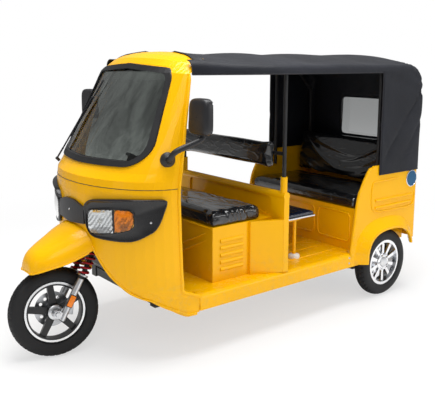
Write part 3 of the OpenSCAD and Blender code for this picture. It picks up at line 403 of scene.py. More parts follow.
def move_to(mesh, co):
    mesh.vertices.foreach_set("co", co.ravel())
    mesh.update()


def interp(table, x, column=1):
    """Value at x between a table's rows, whose first column rises."""
    return float(np.interp(x, table[:, 0], table[:, column]))


def merge(parts):
    """One list of points and faces from several."""
    verts, faces = [], []
    for part_verts, part_faces in parts:
        start = len(verts)
        verts += part_verts
        faces += [tuple(start + i for i in face) for face in part_faces]
    return verts, faces


def smooth_path(points, steps=6, closed=False):
    """Catmull-Rom curve through points."""
    pts = [Vector(p) for p in points]
    n = len(pts)
    path = []
    for i in range(n if closed else n - 1):
        if closed:
            a, b, c, d = (pts[(i + k) % n] for k in (-1, 0, 1, 2))
        else:
            a, b, c, d = (pts[min(max(i + k, 0), n - 1)] for k in (-1, 0, 1, 2))
        for k in range(steps):
            t = k / steps
            path.append(0.5 * (2 * b + (c - a) * t + (2 * a - 5 * b + 4 * c - d) * t * t
                               + (3 * b - a - 3 * c + d) * t ** 3))
    return path if closed else path + [pts[-1]]


def circle(centre, x, y, r, count):
    """Points in the frame round a centre given in the drawing's millimetres."""
    turns = [2 * math.pi * k / count for k in range(count)]
    return [at(*(centre + (x * math.cos(t) + y * math.sin(t)) * r)) for t in turns]


def capped(rows, sides):
    """Faces of a pipe of rings with both ends closed."""
    last = (rows - 1) * sides
    ends = [tuple(range(sides - 1, -1, -1)), tuple(range(last, last + sides))]
    return grid_faces(rows, sides, closed=True) + ends


def tube(points, radius, sides=10, closed=False):
    """Round bead along points in the drawing's millimetres; radius may be one value for each point."""
    pts = [Vector(p) for p in points]
    n = len(pts)
    radii = radius if hasattr(radius, "__len__") else [radius] * n
    verts = []
    normal = None
    for i, p in enumerate(pts):
        before = pts[i - 1] if i or closed else p
        after = pts[(i + 1) % n] if i < n - 1 or closed else p
        along = (after - before).normalized()
        normal = along.orthogonal() if normal is None else normal
        normal = (normal - along * normal.dot(along)).normalized()
        verts += circle(p, normal, along.cross(normal), radii[i], sides)
    if not closed:
        return verts, capped(n, sides)
    last = (n - 1) * sides
    shift = min(range(sides), key=lambda k: (verts[last] - verts[k]).length)
    joint = [(last + k, last + (k + 1) % sides, (k + 1 + shift) % sides, (k + shift) % sides)
             for k in range(sides)]
    return verts, grid_faces(n, sides, closed=True) + joint


def lathe(profile, place, axis, around=32):
    """Turned solid at place: profile rows are (radius, distance along the axis) in millimetres."""
    y = Vector(axis).normalized()
    x = y.orthogonal().normalized()
    verts = []
    for r, h in profile:
        verts += circle(Vector(place) + y * h, x, x.cross(y), max(r, 0.01), around)
    return verts, capped(len(profile), around)


def skin(grid, closed=False):
    """Open surface over a grid of points in the drawing's millimetres."""
    return [at(*p) for row in grid for p in row], grid_faces(len(grid), len(grid[0]), closed)


def shell(outer, inner):
    """Closed skin between two grids of points in the drawing's millimetres."""
    rows, columns = len(outer), len(outer[0])
    all_outer = rows * columns
    verts, faces = skin(outer)
    verts += skin(inner)[0]
    faces += [tuple(all_outer + i for i in reversed(f)) for f in faces]
    rim = ([(0, j) for j in range(columns)] + [(i, columns - 1) for i in range(1, rows)]
           + [(rows - 1, j) for j in range(columns - 2, -1, -1)] + [(i, 0) for i in range(rows - 2, 0, -1)])
    ring = [i * columns + j for i, j in rim]
    for a, b in zip(ring, ring[1:] + ring[:1]):
        faces.append((b, a, all_outer + a, all_outer + b))
    return verts, faces


def border_loops(mesh):
    """Closed loops of points along a mesh's open edges, in the drawing's millimetres."""
    work = bmesh.new()
    work.from_mesh(mesh)
    beside = {}
    for edge in work.edges:
        if edge.is_boundary:
            for a, b in (edge.verts, reversed(edge.verts)):
                beside.setdefault(a, []).append(b)
    loops = []
    while beside:
        start = here = next(iter(beside))
        loop = []
        while here in beside:
            loop.append(Vector(((here.co.x + MID_X) * 1000, here.co.y * 1000, here.co.z * 1000)))
            onward = [v for v in beside.pop(here) if v in beside]
            if not onward:
                break
            here = onward[0]
        if len(loop) > 8:
            loops.append(loop)
    work.free()
    return loops


# Camera of the photograph, on 435 x 400 pixels

WIDTH, HEIGHT = 435, 400
FOCAL = 661.93
CENTRE = (228.77, 166.93)
SENSOR = 36
CAMERA_AT = (2.6146, 3.2982, 1.6341)
YAW, PITCH, ROLL = (math.radians(a) for a in (230.805, -9.361, 0.374))
look_dir = Vector((math.cos(YAW) * math.cos(PITCH), math.sin(YAW) * math.cos(PITCH), math.sin(PITCH)))
level = look_dir.cross(Vector((0, 0, 1))).normalized()
upright = level.cross(look_dir)
right = level * math.cos(ROLL) + upright * math.sin(ROLL)
up = upright * math.cos(ROLL) - level * math.sin(ROLL)
camera = bpy.data.objects.new("camera", bpy.data.cameras.new("camera"))
bpy.context.scene.collection.objects.link(camera)
turn = Matrix((right, up, -look_dir)).transposed().to_4x4()
camera.matrix_world = Matrix.Translation(CAMERA_AT) @ turn
camera.data.sensor_width = SENSOR
camera.data.lens = FOCAL / WIDTH * SENSOR
camera.data.shift_x = (WIDTH / 2 - CENTRE[0]) / WIDTH
camera.data.shift_y = (CENTRE[1] - HEIGHT / 2) / WIDTH
camera.data.clip_end = 200
bpy.context.scene.camera = camera

# Canopy: one sheet over the hoops, with quarters, back and valance

CANOPY_HALF = 548.4
CANOPY_BACK = -358.4
CANOPY_FRONT, FRONT_HALF = 1590.0, 458.0
TAPER_X = 1080.0
NOTCH_X, NOTCH_Y = 1545.0, 436.0
ROOF_REAR = 1476.0
ROOF_Z, ARCH_R = 1664.0, 2030.0
ARCH_BASE = ROOF_Z - ARCH_R
CORNER_R = 54.0
SIDE_R, BACK_R = 50.0, 160.0
QUARTER_X, QUARTER_Z, VALANCE_Z = 106.0, 865.0, 1545.0
HOOPS = (-116.0, 420.0, 956.0, 1454.0)
WINDOW_Y, WINDOW_Z = 205.0, (1050.0, 1340.0)
CLOTH_T, BINDING_R = 0.003, 3.6
CREASES = (
    # X and Z of both ends on the side, width, depth
    (-350, 1440, 80, 930, 13, 13.0), (-350, 1240, -90, 880, 11, 8.0), (90, 1540, -345, 1400, 13, 8.0),
    (100, 1180, -60, 870, 10, 5.0), (-210, 1540, -352, 1470, 12, 6.0),
)


def arch_z(y):
    return ARCH_BASE + math.sqrt(ARCH_R ** 2 - y * y)


def side_half(x):
    """Half width of the canopy at x: it narrows towards the cab."""
    slope = (CANOPY_HALF - FRONT_HALF) / (CANOPY_FRONT - TAPER_X)
    return CANOPY_HALF - slope * max(0.0, x - TAPER_X)


SIDE_X = (NOTCH_X, 1530, 1512, 1494, ROOF_REAR, 1455, 1430, 1350, 1260, 1170, 1080, 1000, 930, 850, 760,
          670, 580, 500, 430, 360, 290, 220, 160, QUARTER_X, 60, 10, -40, -85, CANOPY_BACK + BACK_R)
FLAP_X = (CANOPY_FRONT, 1579, 1568, 1557, NOTCH_X)
ROOF_Y = (390, 345, 300, 250, WINDOW_Y, 154, 103, 52, 0)
WALL_Z = (QUARTER_Z, 880, 920, 960, 1005, WINDOW_Z[0], 1100, 1150, 1200, 1250)
WALL_TOP_Z, BACK_STEPS, SHOULDER_STEPS, FLAP_STEPS = 1300.0, 9, 8, 4


def hood_row(x, drop=0.0):
    """Section of the hood at x, from the left wall's top to the middle, lowered by drop."""
    half = side_half(x)
    inner_y = half - SIDE_R
    tilt = math.asin(inner_y / ARCH_R)
    high = arch_z(inner_y) - SIDE_R
    row = []
    for k in range(SHOULDER_STEPS + 1):
        a = (math.pi / 2 - tilt) * k / SHOULDER_STEPS
        row.append((half - SIDE_R * (1 - math.cos(a)), high + SIDE_R * math.sin(a)))
    edge_y, edge_z = row[-1]
    lift = edge_z - arch_z(edge_y)
    flap_y = min(NOTCH_Y, edge_y - 4)
    for k in range(1, FLAP_STEPS + 1):
        t = k / FLAP_STEPS
        y = edge_y + (flap_y - edge_y) * t
        row.append((y, arch_z(y) + lift * (1 - t)))
    row += [(y, arch_z(y)) for y in ROOF_Y]
    return [(x, y, z - drop) for y, z in row]


def wall_levels(top):
    """Heights of a wall's rows from the hem to its top, one of them along the window's upper edge."""
    rise = top - WALL_TOP_Z
    window = WALL_TOP_Z + min(WINDOW_Z[1] - WALL_TOP_Z, 0.33 * rise)
    return [*WALL_Z, WALL_TOP_Z, window, WALL_TOP_Z + 0.55 * rise, WALL_TOP_Z + 0.8 * rise, top]


def round_corners(co):
    """Round the two upright rear corners in plan by the square to disc mapping."""
    inner_x, inner_y = CANOPY_BACK + CORNER_R, CANOPY_HALF - CORNER_R
    u = np.clip((inner_x - co[:, 0]) / CORNER_R, 0, 1)
    v = np.clip((np.abs(co[:, 1]) - inner_y) / CORNER_R, 0, 1)
    both = (u > 0) & (v > 0)
    round_x = inner_x - CORNER_R * u * np.sqrt(1 - v * v / 2)
    round_y = np.sign(co[:, 1]) * (inner_y + CORNER_R * v * np.sqrt(1 - u * u / 2))
    co[:, 0] = np.where(both, round_x, co[:, 0])
    co[:, 1] = np.where(both, round_y, co[:, 1])


def canopy_folds(co):
    """How far points move in from the taut form, in millimetres: sag between hoops and soft creases."""
    x, y, z = co.T
    move = np.zeros(len(co))
    for a, b in zip(HOOPS, HOOPS[1:]):
        t = np.clip((x - a) / (b - a), 0, 1)
        inside = np.sin(np.pi * t) ** 2 * np.clip((z - 1560) / 40, 0, 1)
        move += 9.0 * inside * np.clip((CANOPY_HALF - np.abs(y)) / 120, 0, 1)
    ripple = np.sin(x * 0.021 + 1.3 * np.sin(y * 0.006)) * np.sin(y * 0.011 + x * 0.004)
    move += 1.6 * (1 + ripple)
    side = np.clip((np.abs(y) - 500) / 30, 0, 1)
    low = np.clip((1560 - z) / 60, 0, 1) * side
    for x0, z0, x1, z1, wide, deep in CREASES:
        along = np.array((x1 - x0, z1 - z0), float)
        along /= np.hypot(*along)
        d = (x - x0) * along[1] - (z - z0) * along[0]
        move += deep * np.exp(-(d / wide) ** 2) * low
    corner = np.hypot(x + 250, np.abs(y) - 470) / 200
    spin = np.arctan2(np.abs(y) - 470, x + 250)
    move += 3.0 * np.exp(-corner ** 2) * (1 + np.sin(9 * spin)) * np.clip((z - 1480) / 80, 0, 1)
    back = np.clip((-x - 330) / 20, 0, 1)
    move += back * 3.0 * (1 + np.sin(y * 0.02 + z * 0.013))
    rear = np.clip((-x - 200) / 130, 0, 1)
    move -= rear * 10.0 * np.exp(-((z - 1330) / 150) ** 2)
    # Low down the sheet stays outside the body panel
    over_panel = 2.5 + 20 * np.clip((z - 945) / 90, 0, 1)
    return np.minimum(move, over_panel)


def over_roof(points):
    """Lift the sheet's front, in metres, to lie on the cab's roof."""
    roof = nodes["cab_upper"]
    corners = [roof.matrix_world @ v.co for v in roof.data.vertices]
    tree = BVHTree.FromPolygons(corners, [tuple(p.vertices) for p in roof.data.polygons])
    start, lowest, near, gap = at(1440, 0, 0).x, 1.56, 0.05, 0.005
    for p in points:
        if p[0] > start and p[2] > lowest:
            hit = tree.ray_cast(Vector((p[0], p[1], 3)), Vector((0, 0, -1)))[0]
            if hit and p[2] - near < hit.z:
                p[2] = max(p[2], hit.z + gap)


def build_canopy():
    rows = [hood_row(x) for x in SIDE_X]
    for k in range(1, BACK_STEPS + 1):
        a = math.pi / 2 * k / BACK_STEPS
        rows.append(hood_row(CANOPY_BACK + BACK_R * (1 - math.sin(a)), BACK_R * (1 - math.cos(a))))
    verts = [p for row in rows for p in row]
    faces = grid_faces(len(rows), len(rows[0]))
    flap_count = 1 + SHOULDER_STEPS + FLAP_STEPS
    flaps = [hood_row(x) for x in FLAP_X]
    start = len(verts)
    verts += [p for row in flaps for p in row[:flap_count]]
    faces += grid_faces(len(flaps), flap_count, start=start)
    start = len(verts)
    for x, y, z in [row[0] for row in flaps + rows if row[0][0] >= QUARTER_X]:
        verts += [(x, y, VALANCE_Z), (x, y, z)]
    faces += grid_faces((len(verts) - start) // 2, 2, start=start)
    start = len(verts)
    tops = [row[0] for row in rows if row[0][0] <= QUARTER_X] + rows[-1][1:]
    for x, y, z in tops:
        verts += [(x, y, level) for level in wall_levels(z)]
    wall = grid_faces(len(tops), len(wall_levels(ROOF_Z)), start=start)
    co = np.array(verts, float)
    # The front edge curves back over the middle of the roof
    reach = 0.12 + 0.88 * np.clip((np.abs(co[:, 1]) - 120) / 280, 0, 1)
    co[:, 0] = np.where(co[:, 0] > ROOF_REAR, ROOF_REAR + (co[:, 0] - ROOF_REAR) * reach, co[:, 0])

    def in_window(face):
        middle = co[list(face)].mean(0)
        return (middle[0] < CANOPY_BACK + 2 and abs(middle[1]) < WINDOW_Y
                and WINDOW_Z[0] < middle[2] < WINDOW_Z[1])

    faces += [f for f in wall if not in_window(f)]
    round_corners(co)
    count = len(co)
    faces += [tuple(count + i for i in reversed(f)) for f in faces]
    co = np.vstack([co, co * (1, -1, 1)])
    obj = piece("canopy_sheet", [at(*p) for p in co], faces, tarpaulin, None)
    weld(obj, 2e-4)
    obj.data.update()
    subdivide(obj, boundary_smooth="PRESERVE_CORNERS")
    mesh = obj.data
    points, normals = coordinates(mesh), normals_of(mesh)
    inside = np.array((0.3 - MID_X, 0, 1.0))
    outward = np.sign(np.einsum("ij,ij->i", normals, points - inside))
    normals *= np.where(outward == 0, 1, outward)[:, None]
    drawing = points * 1000 + (MID_X * 1000, 0, 0)
    points -= normals * canopy_folds(drawing)[:, None] / 1000
    over_roof(points)
    move_to(mesh, points)
    hems = [tube(loop, BINDING_R, 8, closed=True) for loop in border_loops(mesh)]
    binding = piece("canopy_binding", *merge(hems), webbing)
    thick = obj.modifiers.new("thick", "SOLIDIFY")
    thick.thickness = CLOTH_T
    thick.offset = 0
    apply_modifiers(obj)
    shade(obj.data)
    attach(obj, "chassis")
    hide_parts("canopy")


build_canopy()


# Seats: swollen by a short cloth run, then creased like wrapped vinyl


def rounded_box(low, high, r, steps=4):
    """Bmesh of a closed box with round edges."""
    work = bmesh.new()
    bmesh.ops.create_cube(work, size=1)
    size = high - low
    for v in work.verts:
        v.co = low + Vector(((v.co.x + 0.5) * size.x, (v.co.y + 0.5) * size.y, (v.co.z + 0.5) * size.z))
    bmesh.ops.bevel(work, geom=list(work.edges), offset=r, segments=steps, profile=0.5, affect="EDGES")
    return work


def from_bmesh(name, work, look):
    mesh = bpy.data.meshes.new(name)
    work.to_mesh(mesh)
    work.free()
    return add_object(name, mesh, look)


CLOTH_FRAMES, PRESSURE = 14, 4.0


def film_creases(co, low, high, depth, seed, swoop):
    """Move of each point out along its normal, in metres: long creases, and gathers at both ends.

    With swoop they hang across an upright back as in a slack sheet, otherwise they run along a seat.
    """
    rng = np.random.default_rng(seed)
    size = high - low
    x, y, z = ((co - low) / size).T
    mid = 2 * y - 1
    across, span = (z, size[2]) if swoop else (x, size[0])
    move = np.zeros(len(co))
    for _ in range(26 if swoop else 16):
        start = rng.uniform(-0.15, 0.75) if swoop else rng.uniform(0.0, 1.0)
        drift = rng.normal(0, 0.1 if swoop else 0.22)
        hang = rng.uniform(0.25, 0.9) if swoop else rng.normal(0, 0.15)
        reach, centre = rng.uniform(0.25, 0.75), rng.uniform(-0.9, 0.9)
        wide = rng.uniform(0.009, 0.020) if swoop else rng.uniform(0.007, 0.014)
        d = (across - start - drift * mid - hang * mid ** 2) * span
        move += rng.uniform(0.4, 1.0) * np.exp(-(d / wide) ** 2 - ((mid - centre) / reach) ** 2)
    ends = (1 - np.abs(mid)) * size[1] / 2
    fan = np.arctan2((across - 0.5) * span, ends + 0.05)
    move += 0.8 * np.exp(-(ends / 0.07) ** 2) * np.sin(fan * 15 + 1.5 * np.sin(z * 5))
    return depth * move


def inflate(obj, low, cap):
    """Swell a mesh by a cloth run with pressure; no point moves further than cap."""
    before = coordinates(obj.data)
    cloth = obj.modifiers.new("cloth", "CLOTH").settings
    cloth.use_pressure = True
    cloth.uniform_pressure_force = PRESSURE
    cloth.effector_weights.gravity = 0.0
    cloth.quality = 5
    for number in range(1, CLOTH_FRAMES + 1):
        bpy.context.scene.frame_set(number)
    apply_modifiers(obj)
    move = coordinates(obj.data) - before
    move *= np.minimum(1, cap / np.maximum(np.linalg.norm(move, axis=1), 1e-9))[:, None]
    bottom = np.clip((before[:, 2] - low.z) / 0.03, 0, 1)
    move[:, 2] = np.where(move[:, 2] < 0, move[:, 2] * bottom, move[:, 2])
    move_to(obj.data, before + move)
    bpy.context.scene.frame_set(1)


def cushion(name, node, low, high, r, voxel, cap, depth, seed, lean=None, look=film, body="chassis"):
    """Padded seat between two corners; lean is the pivot and angle of an upright back."""
    obj = from_bmesh(name, rounded_box(low, high, r), look)
    remesh = obj.modifiers.new("remesh", "REMESH")
    remesh.mode = "VOXEL"
    remesh.voxel_size = voxel
    apply_modifiers(obj)
    inflate(obj, low, cap)
    subdivide(obj)
    mesh = obj.data
    co = coordinates(mesh)
    shift = film_creases(co, np.array(low), np.array(high), depth, seed, bool(lean))
    free = np.clip((co[:, 2] - low.z) / 0.02, 0, 1)
    move_to(mesh, co + normals_of(mesh) * (shift * free)[:, None])
    if lean:
        pivot, angle = lean
        turn = Matrix.Rotation(angle, 4, "Y")
        mesh.transform(Matrix.Translation(pivot) @ turn @ Matrix.Translation(-pivot))
        mesh.update()
    shade(mesh)
    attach(obj, body)
    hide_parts(node)


for name, node, inset, lower, *sizes in (
    # piece, node, inset from the node's box, drop of the top, then radius, voxel, cap, crease depth, seed
    ("driver_seat", "driver_cushion", (0.006, 0.006, 0.0), 0.008, 0.02, 0.009, 0.012, 0.0022, 3),
    ("driver_back", "driver_backrest", (0.008, 0.006, 0.006), 0.0, 0.018, 0.008, 0.010, 0.002, 5),
    ("bench_seat", "bench_cushion", (0.006, 0.006, 0.0), 0.008, 0.022, 0.011, 0.012, 0.0025, 7),
):
    low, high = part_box(node)
    cushion(name, node, low + Vector(inset), high - Vector(inset) - Vector((0, 0, lower)), *sizes)
cushion("bench_back", "bench_backrest", at(-221, -494, 750), at(-153, 494, 1074), 0.026, 0.009, 0.012,
        0.0065, 11, (at(-145, 0, 748), -math.radians(8)))

# Tyres: treaded crowns over the plain CAD rings


def axis_frame(axle):
    """Matrix whose Y is the axle and whose Z points up as far as it can."""
    y = Vector(axle).normalized()
    x = y.cross(Vector((0, 0, 1))).normalized()
    return Matrix((x, y, x.cross(y))).transposed()


def wave(t):
    """Triangle wave from 0 to 1 with period 1."""
    return abs((t % 1.0) * 2 - 1)


TREAD_DEPTH, AROUND = 0.0045, 336


def build_tyre(name, node, body, hub, axle, radius, width, lip_r, rim_half, blocks):
    """Tyre with slanted tread blocks; lip_r and rim_half are the rim's radius and half width."""
    side = width / 2
    core = radius - side
    section = [(lip_r + 0.001, -(rim_half - 0.008))]
    for k in range(41):
        a = math.radians(-118 + 236 * k / 40)
        flat = 2 / 2.35
        r = core + side * math.copysign(abs(math.cos(a)) ** flat, math.cos(a))
        y = side * math.copysign(abs(math.sin(a)) ** flat, math.sin(a))
        section.append((max(r, lip_r + 0.002), y))
    section.append((lip_r + 0.001, rim_half - 0.008))
    section += [(lip_r - 0.006, rim_half - 0.010), (lip_r - 0.006, -(rim_half - 0.010))]
    turn = axis_frame(axle)
    verts = []
    tread_half = side * 0.74
    for i in range(AROUND):
        theta = 2 * math.pi * i / AROUND
        spoke = Vector((math.sin(theta), 0, math.cos(theta)))
        for r, y in section:
            depth = 0.0
            if abs(y) < tread_half and r > core:
                u = theta / (2 * math.pi) * blocks + 0.9 * abs(y) / side
                cut = wave(u) > 0.80
                wide = abs(abs(y) - side * 0.30) < side * 0.055
                depth = TREAD_DEPTH if cut or wide else 0.0
            elif r > core - side * 0.2 and abs(abs(y) - side * 0.96) < side * 0.02:
                depth = -0.0006
            verts.append(hub + turn @ (spoke * (r - depth) + Vector((0, y, 0))))
    faces = grid_faces(AROUND, len(section), closed=True, ring=True)
    obj = piece(name, verts, faces, tyre_rubber, body)
    weld(obj)
    shade(obj.data, 38)
    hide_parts(node)


SIDES = (("left", 1), ("right", -1))
REAR_HUB_Y, REAR_HUB_Z = 498, 235
build_tyre("front_tyre_tread", "front_tyre", "front_wheel", HUB, AXLE, 0.2475, 0.095, FRONT_LIP, 0.031, 46)
for side, s in SIDES:
    build_tyre(f"rear_tyre_{side}_tread", f"rear_tyre_{side}", f"rear_wheel_{side}",
               at(0, s * REAR_HUB_Y, REAR_HUB_Z), (0, 1, 0), 0.235, 0.100, 0.158, 0.040, 42)


# Places on the cab and the fork that small parts sit on

WHEELBASE, HALF_W = 2200.0, 540.0
CAB_ROWS = np.array([
    # height, nose behind front axle, door edge behind front axle, inset from body side, drop at the sides
    [262, 161, 600, 8, 0], [352, 148, 599, 5, 0], [370, 146, 545, 5, 0], [402, 142, 491, 4, 0],
    [500, 130, 480, 2, 0], [700, 122, 470, 0, 0], [935, 120, 463, 0, 0], [1005, 130, 470, 1, 0],
    [1045, 166, 478, 2, 0], [1080, 188, 484, 5, 0], [1560, 488, 594, 81, 10], [1600, 508, 660, 88, 20],
    [1632, 534, 700, 100, 30], [1654, 590, 708, 112, 36], [1668, 709, 712, 122, 38],
], float)
ARCH_EDGE = np.array([
    # distance from the middle, height of the nose's lower edge
    [0, 690], [140, 690], [168, 654], [200, 605], [250, 538], [300, 480], [375, 415], [450, 360], [505, 306],
    [532, 262],
], float)
FORK_FOOT = Vector((2161.03, 0, 224.276))
FORK_TURN = Matrix.Rotation(-math.radians(30), 3, "Y") @ Matrix.Rotation(-math.radians(13.3), 3, "Z")
FORK_OFFSET = Vector((45, 0, 0))


def cab(z, angle, out=0.0):
    """Point on the cab shell in millimetres, moved out from its face; the angle is 0 straight ahead."""
    nose, door, inset, drop = (interp(CAB_ROWS, z, k) for k in range(1, 5))
    a = math.radians(angle)
    edge = WHEELBASE - door
    front = WHEELBASE - nose + out
    across = math.sin(a)
    y = (HALF_W - inset + out) * across
    return Vector((edge + (front - edge) * math.cos(a), y, z - drop * across ** 2))


def cab_normal(z, angle):
    return (cab(z, angle, 10) - cab(z, angle)).normalized()


def arch_edge(angle):
    """Height of the nose's lower edge at an angle round the cab."""
    return interp(ARCH_EDGE, abs(math.sin(math.radians(angle))) * HALF_W)


def fork(x, y, z):
    """Point in millimetres from the front wheel's middle with the fork legs along Z, turned as parked."""
    return FORK_TURN @ (Vector((x, y, z)) + FORK_OFFSET) + FORK_FOOT


def fork_direction(x, y, z):
    return FORK_TURN @ Vector((x, y, z))


def mirrored(parts):
    """The parts and their mirror images on the other side."""
    both = []
    for verts, faces in parts:
        both.append((verts, faces))
        both.append(([Vector((v.x, -v.y, v.z)) for v in verts], [tuple(reversed(f)) for f in faces]))
    return both


def screw(place, axis, r):
    """Pan head with a dished middle, standing 0.35 r out of the surface."""
    return lathe([(r, -2), (r, 0.1 * r), (0.9 * r, 0.25 * r), (0.6 * r, 0.35 * r), (0.42 * r, 0.35 * r),
                  (0.34 * r, 0.12 * r), (0, 0.12 * r)], place, axis, 20)


def fitted(name, parts, look, slot, body="chassis", smooth=True, sharp=34, replaces=None):
    """One piece from several parts, for the node that it replaces if there is one; slot is not used."""
    obj = piece(name, *merge(parts), look, body, smooth)
    if smooth:
        shade(obj.data, sharp)
    if replaces:
        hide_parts(replaces)


# Head lamps: a rolled bezel, a faceted reflector with its bulb, and clear and amber covers

# Outlines by angle round the nose and height; DEGREE is a degree's length there
DEGREE = 8.7
BEZEL_LOW = np.array([
    (15.4, 775), (16.6, 738), (18.6, 710), (21, 697), (25, 689), (39, 687), (48, 690), (52, 695), (56, 705),
    (60, 720), (64, 736), (68, 752), (71, 778), (74, 820), (76.4, 862), (78.2, 892)])
BEZEL_HIGH = np.array([
    (15.4, 836), (16.6, 862), (18.6, 882), (21, 894), (25, 902), (39, 914), (48, 919), (71, 921), (74, 920),
    (76.4, 916), (78.2, 908)])
LENS_LOW = np.array([(19, 742), (20.2, 722), (22, 714), (39, 735), (48, 752), (51, 764), (53, 786)])
LENS_HIGH = np.array([(19, 812), (20.2, 832), (22, 842), (39, 858), (48, 860), (51, 856), (53, 842)])
LENS_SPLIT = 38.6
LAMP_MIDDLE = np.array((36.0 * DEGREE, 790.0))


def edge_loop(low, high):
    """Closed outline in millimetres round the nose by height, with its corners eased."""
    loop = np.vstack([low, high[::-1]]) * (DEGREE, 1)
    for _ in range(2):
        onward = np.roll(loop, -1, axis=0)
        loop = np.stack([loop * 0.75 + onward * 0.25, loop * 0.25 + onward * 0.75], 1).reshape(-1, 2)
    return loop


def spread(loop, count):
    """Points at even distances along a closed outline."""
    closed = np.vstack([loop, loop[:1]])
    run = np.concatenate([[0], np.cumsum(np.hypot(*np.diff(closed, axis=0).T))])
    where = np.linspace(0, run[-1], count, endpoint=False)
    return np.column_stack([np.interp(where, run, closed[:, k]) for k in (0, 1)])


def cross2(a, b):
    return a[..., 0] * b[..., 1] - a[..., 1] * b[..., 0]


def facing(loop, toward):
    """Points where rays from the lamp's middle towards the given points meet a closed outline."""
    a = loop - LAMP_MIDDLE
    e = np.roll(a, -1, axis=0) - a
    met = []
    for point in toward:
        d = np.broadcast_to(point - LAMP_MIDDLE, e.shape)
        down = cross2(d, e)
        s, u = cross2(a, e) / down, cross2(a, d) / down
        met.append(LAMP_MIDDLE + d[0] * s[(u >= 0) & (u <= 1) & (s > 0)].max())
    return np.array(met)


def bezel_ring(side):
    """Rolled frame between the bezel's outline and the lens opening, under a raised brow."""
    outer = spread(edge_loop(BEZEL_LOW, BEZEL_HIGH), 180)
    inner = facing(edge_loop(LENS_LOW, LENS_HIGH), outer)
    width = np.hypot(*(inner - outer).T)
    rows = [
        # distance in from the outer edge, or back from the inner one, and how far the face stands out
        (0, None, 0.5), (0, None, 9), (1.2, None, 12.5), (4, None, 15), (8, None, 15.6), (12, None, 13.6),
        (15, None, 11.4), (19, None, 10.6), (None, 16, 10.6), (None, 11, 11.6), (None, 7, 14), (None, 3.5, 15),
        (None, 1, 14), (None, 0, 11), (None, 0, 2),
    ]
    grid = []
    for ahead, behind, out in rows:
        share = np.minimum(ahead / width, 0.44) if behind is None else 1 - np.minimum(behind / width, 0.44)
        row = []
        for a, z in outer + (inner - outer) * np.reshape(share * np.ones(len(outer)), (-1, 1)):
            angle = a / DEGREE
            base, top = interp(BEZEL_LOW, angle), interp(BEZEL_HIGH, angle)
            brow = 13 * min(max((z - base) / (top - base), 0), 1) ** 6 if out > 5 else 0
            row.append(cab(z, side * angle, out + brow))
        grid.append(row)
    return skin(grid, True)


def lamp_grid(side, angles, rows, out):
    """Grid over the lens opening; out gives the distance from the shell at shares u across and v up."""
    grid = []
    for i in range(rows + 1):
        row = []
        for j, angle in enumerate(angles):
            base, top = interp(LENS_LOW, angle), interp(LENS_HIGH, angle)
            u, v = j / (len(angles) - 1), i / rows
            row.append(cab(base + (top - base) * v, side * angle, out(u, v)))
        grid.append(row)
    return grid


def bowl(u, v):
    dish = max(abs(2 * u - 1), abs(2 * v - 1)) ** 3
    return 3 + 11 * dish + 1.6 * ((round(u * 12) + round(v * 8)) % 2)


def crowned(low, rise):
    return lambda u, v: low + rise * (1 - (2 * u - 1) ** 2) * (1 - (2 * v - 1) ** 2)


def lamp_shell(side, angles, rows, outer, inner):
    return shell(lamp_grid(side, angles, rows, outer), lamp_grid(side, angles, rows, inner))


split_angles = (LENS_SPLIT - 0.5, LENS_SPLIT + 0.5)
clear_angles = np.linspace(19.2, split_angles[0], 13)
amber_angles = np.linspace(split_angles[1], 52.8, 11)


def bulb(side, angle, z, r):
    return lathe([(r, 0), (r, 3), (0.72 * r, 5), (0.7 * r, 10), (0.45 * r, 13), (0, 14)],
                 cab(z, side * angle, 3), cab_normal(z, side * angle), 24)


def cover(side, angles, rise):
    return lamp_shell(side, angles, 8, crowned(16, rise), crowned(13.5, rise))


BOTH = (1, -1)
bezels = [bezel_ring(s) for s in BOTH]
bezels += [lamp_shell(s, split_angles, 6, crowned(17, 0), crowned(2, 0)) for s in BOTH]
bowls = [skin(lamp_grid(s, angles, rows, bowl))
         for s in BOTH for angles, rows in ((clear_angles, 8), (amber_angles, 6))]
bulbs = [bulb(s, *place) for s in BOTH for place in ((28.0, 785, 15), (45.5, 802, 11))]
lamp_screws = [screw(cab(800, s * 65, 11), cab_normal(800, s * 65), 6.5) for s in BOTH]
lamp_screws.append(screw(cab(811, 0, 15.2), Vector((1, 0, 0)), 6.5))
fitted("lamp_bezels", bezels, gloss_black, "black_plastic", sharp=50, replaces="headlamp_bezels")
fitted("lamp_reflectors", bowls, reflector_chrome, "bright_rim", smooth=False)
fitted("lamp_bulbs", bulbs, bulb_glass, "clear_lens")
fitted("lamp_clear_covers", [cover(s, clear_angles, 7) for s in BOTH], lens_clear, "clear_lens", sharp=60,
       replaces="headlamp_lenses")
fitted("lamp_amber_covers", [cover(s, amber_angles, 6) for s in BOTH], lens_amber, "amber_lens", sharp=60,
       replaces="indicator_lenses")
fitted("fascia_screws", lamp_screws, steel, "steel")

# Mudguard: the drawing's sections joined by smooth curves, with a rolled lip

GUARD_ROWS = [
    # ahead of front axle, crown height, half width, depth of the side
    (-112, 736, 188, 126), (-62, 710, 172, 135), (0, 676, 152, 124), (72, 636, 126, 102), (120, 604, 98, 86),
    (146, 566, 70, 58), (154, 526, 52, 20), (153, 508, 50, 3),
]
GUARD_BOW, GUARD_T = 2.5, 5


def nose_x(z, y):
    """X of the nose's face at a height and a distance from the middle."""
    nose, door, inset = (interp(CAB_ROWS, z, k) for k in (1, 2, 3))
    return WHEELBASE - door + (door - nose) * math.sqrt(max(0.0, 1 - (y / (HALF_W - inset)) ** 2))


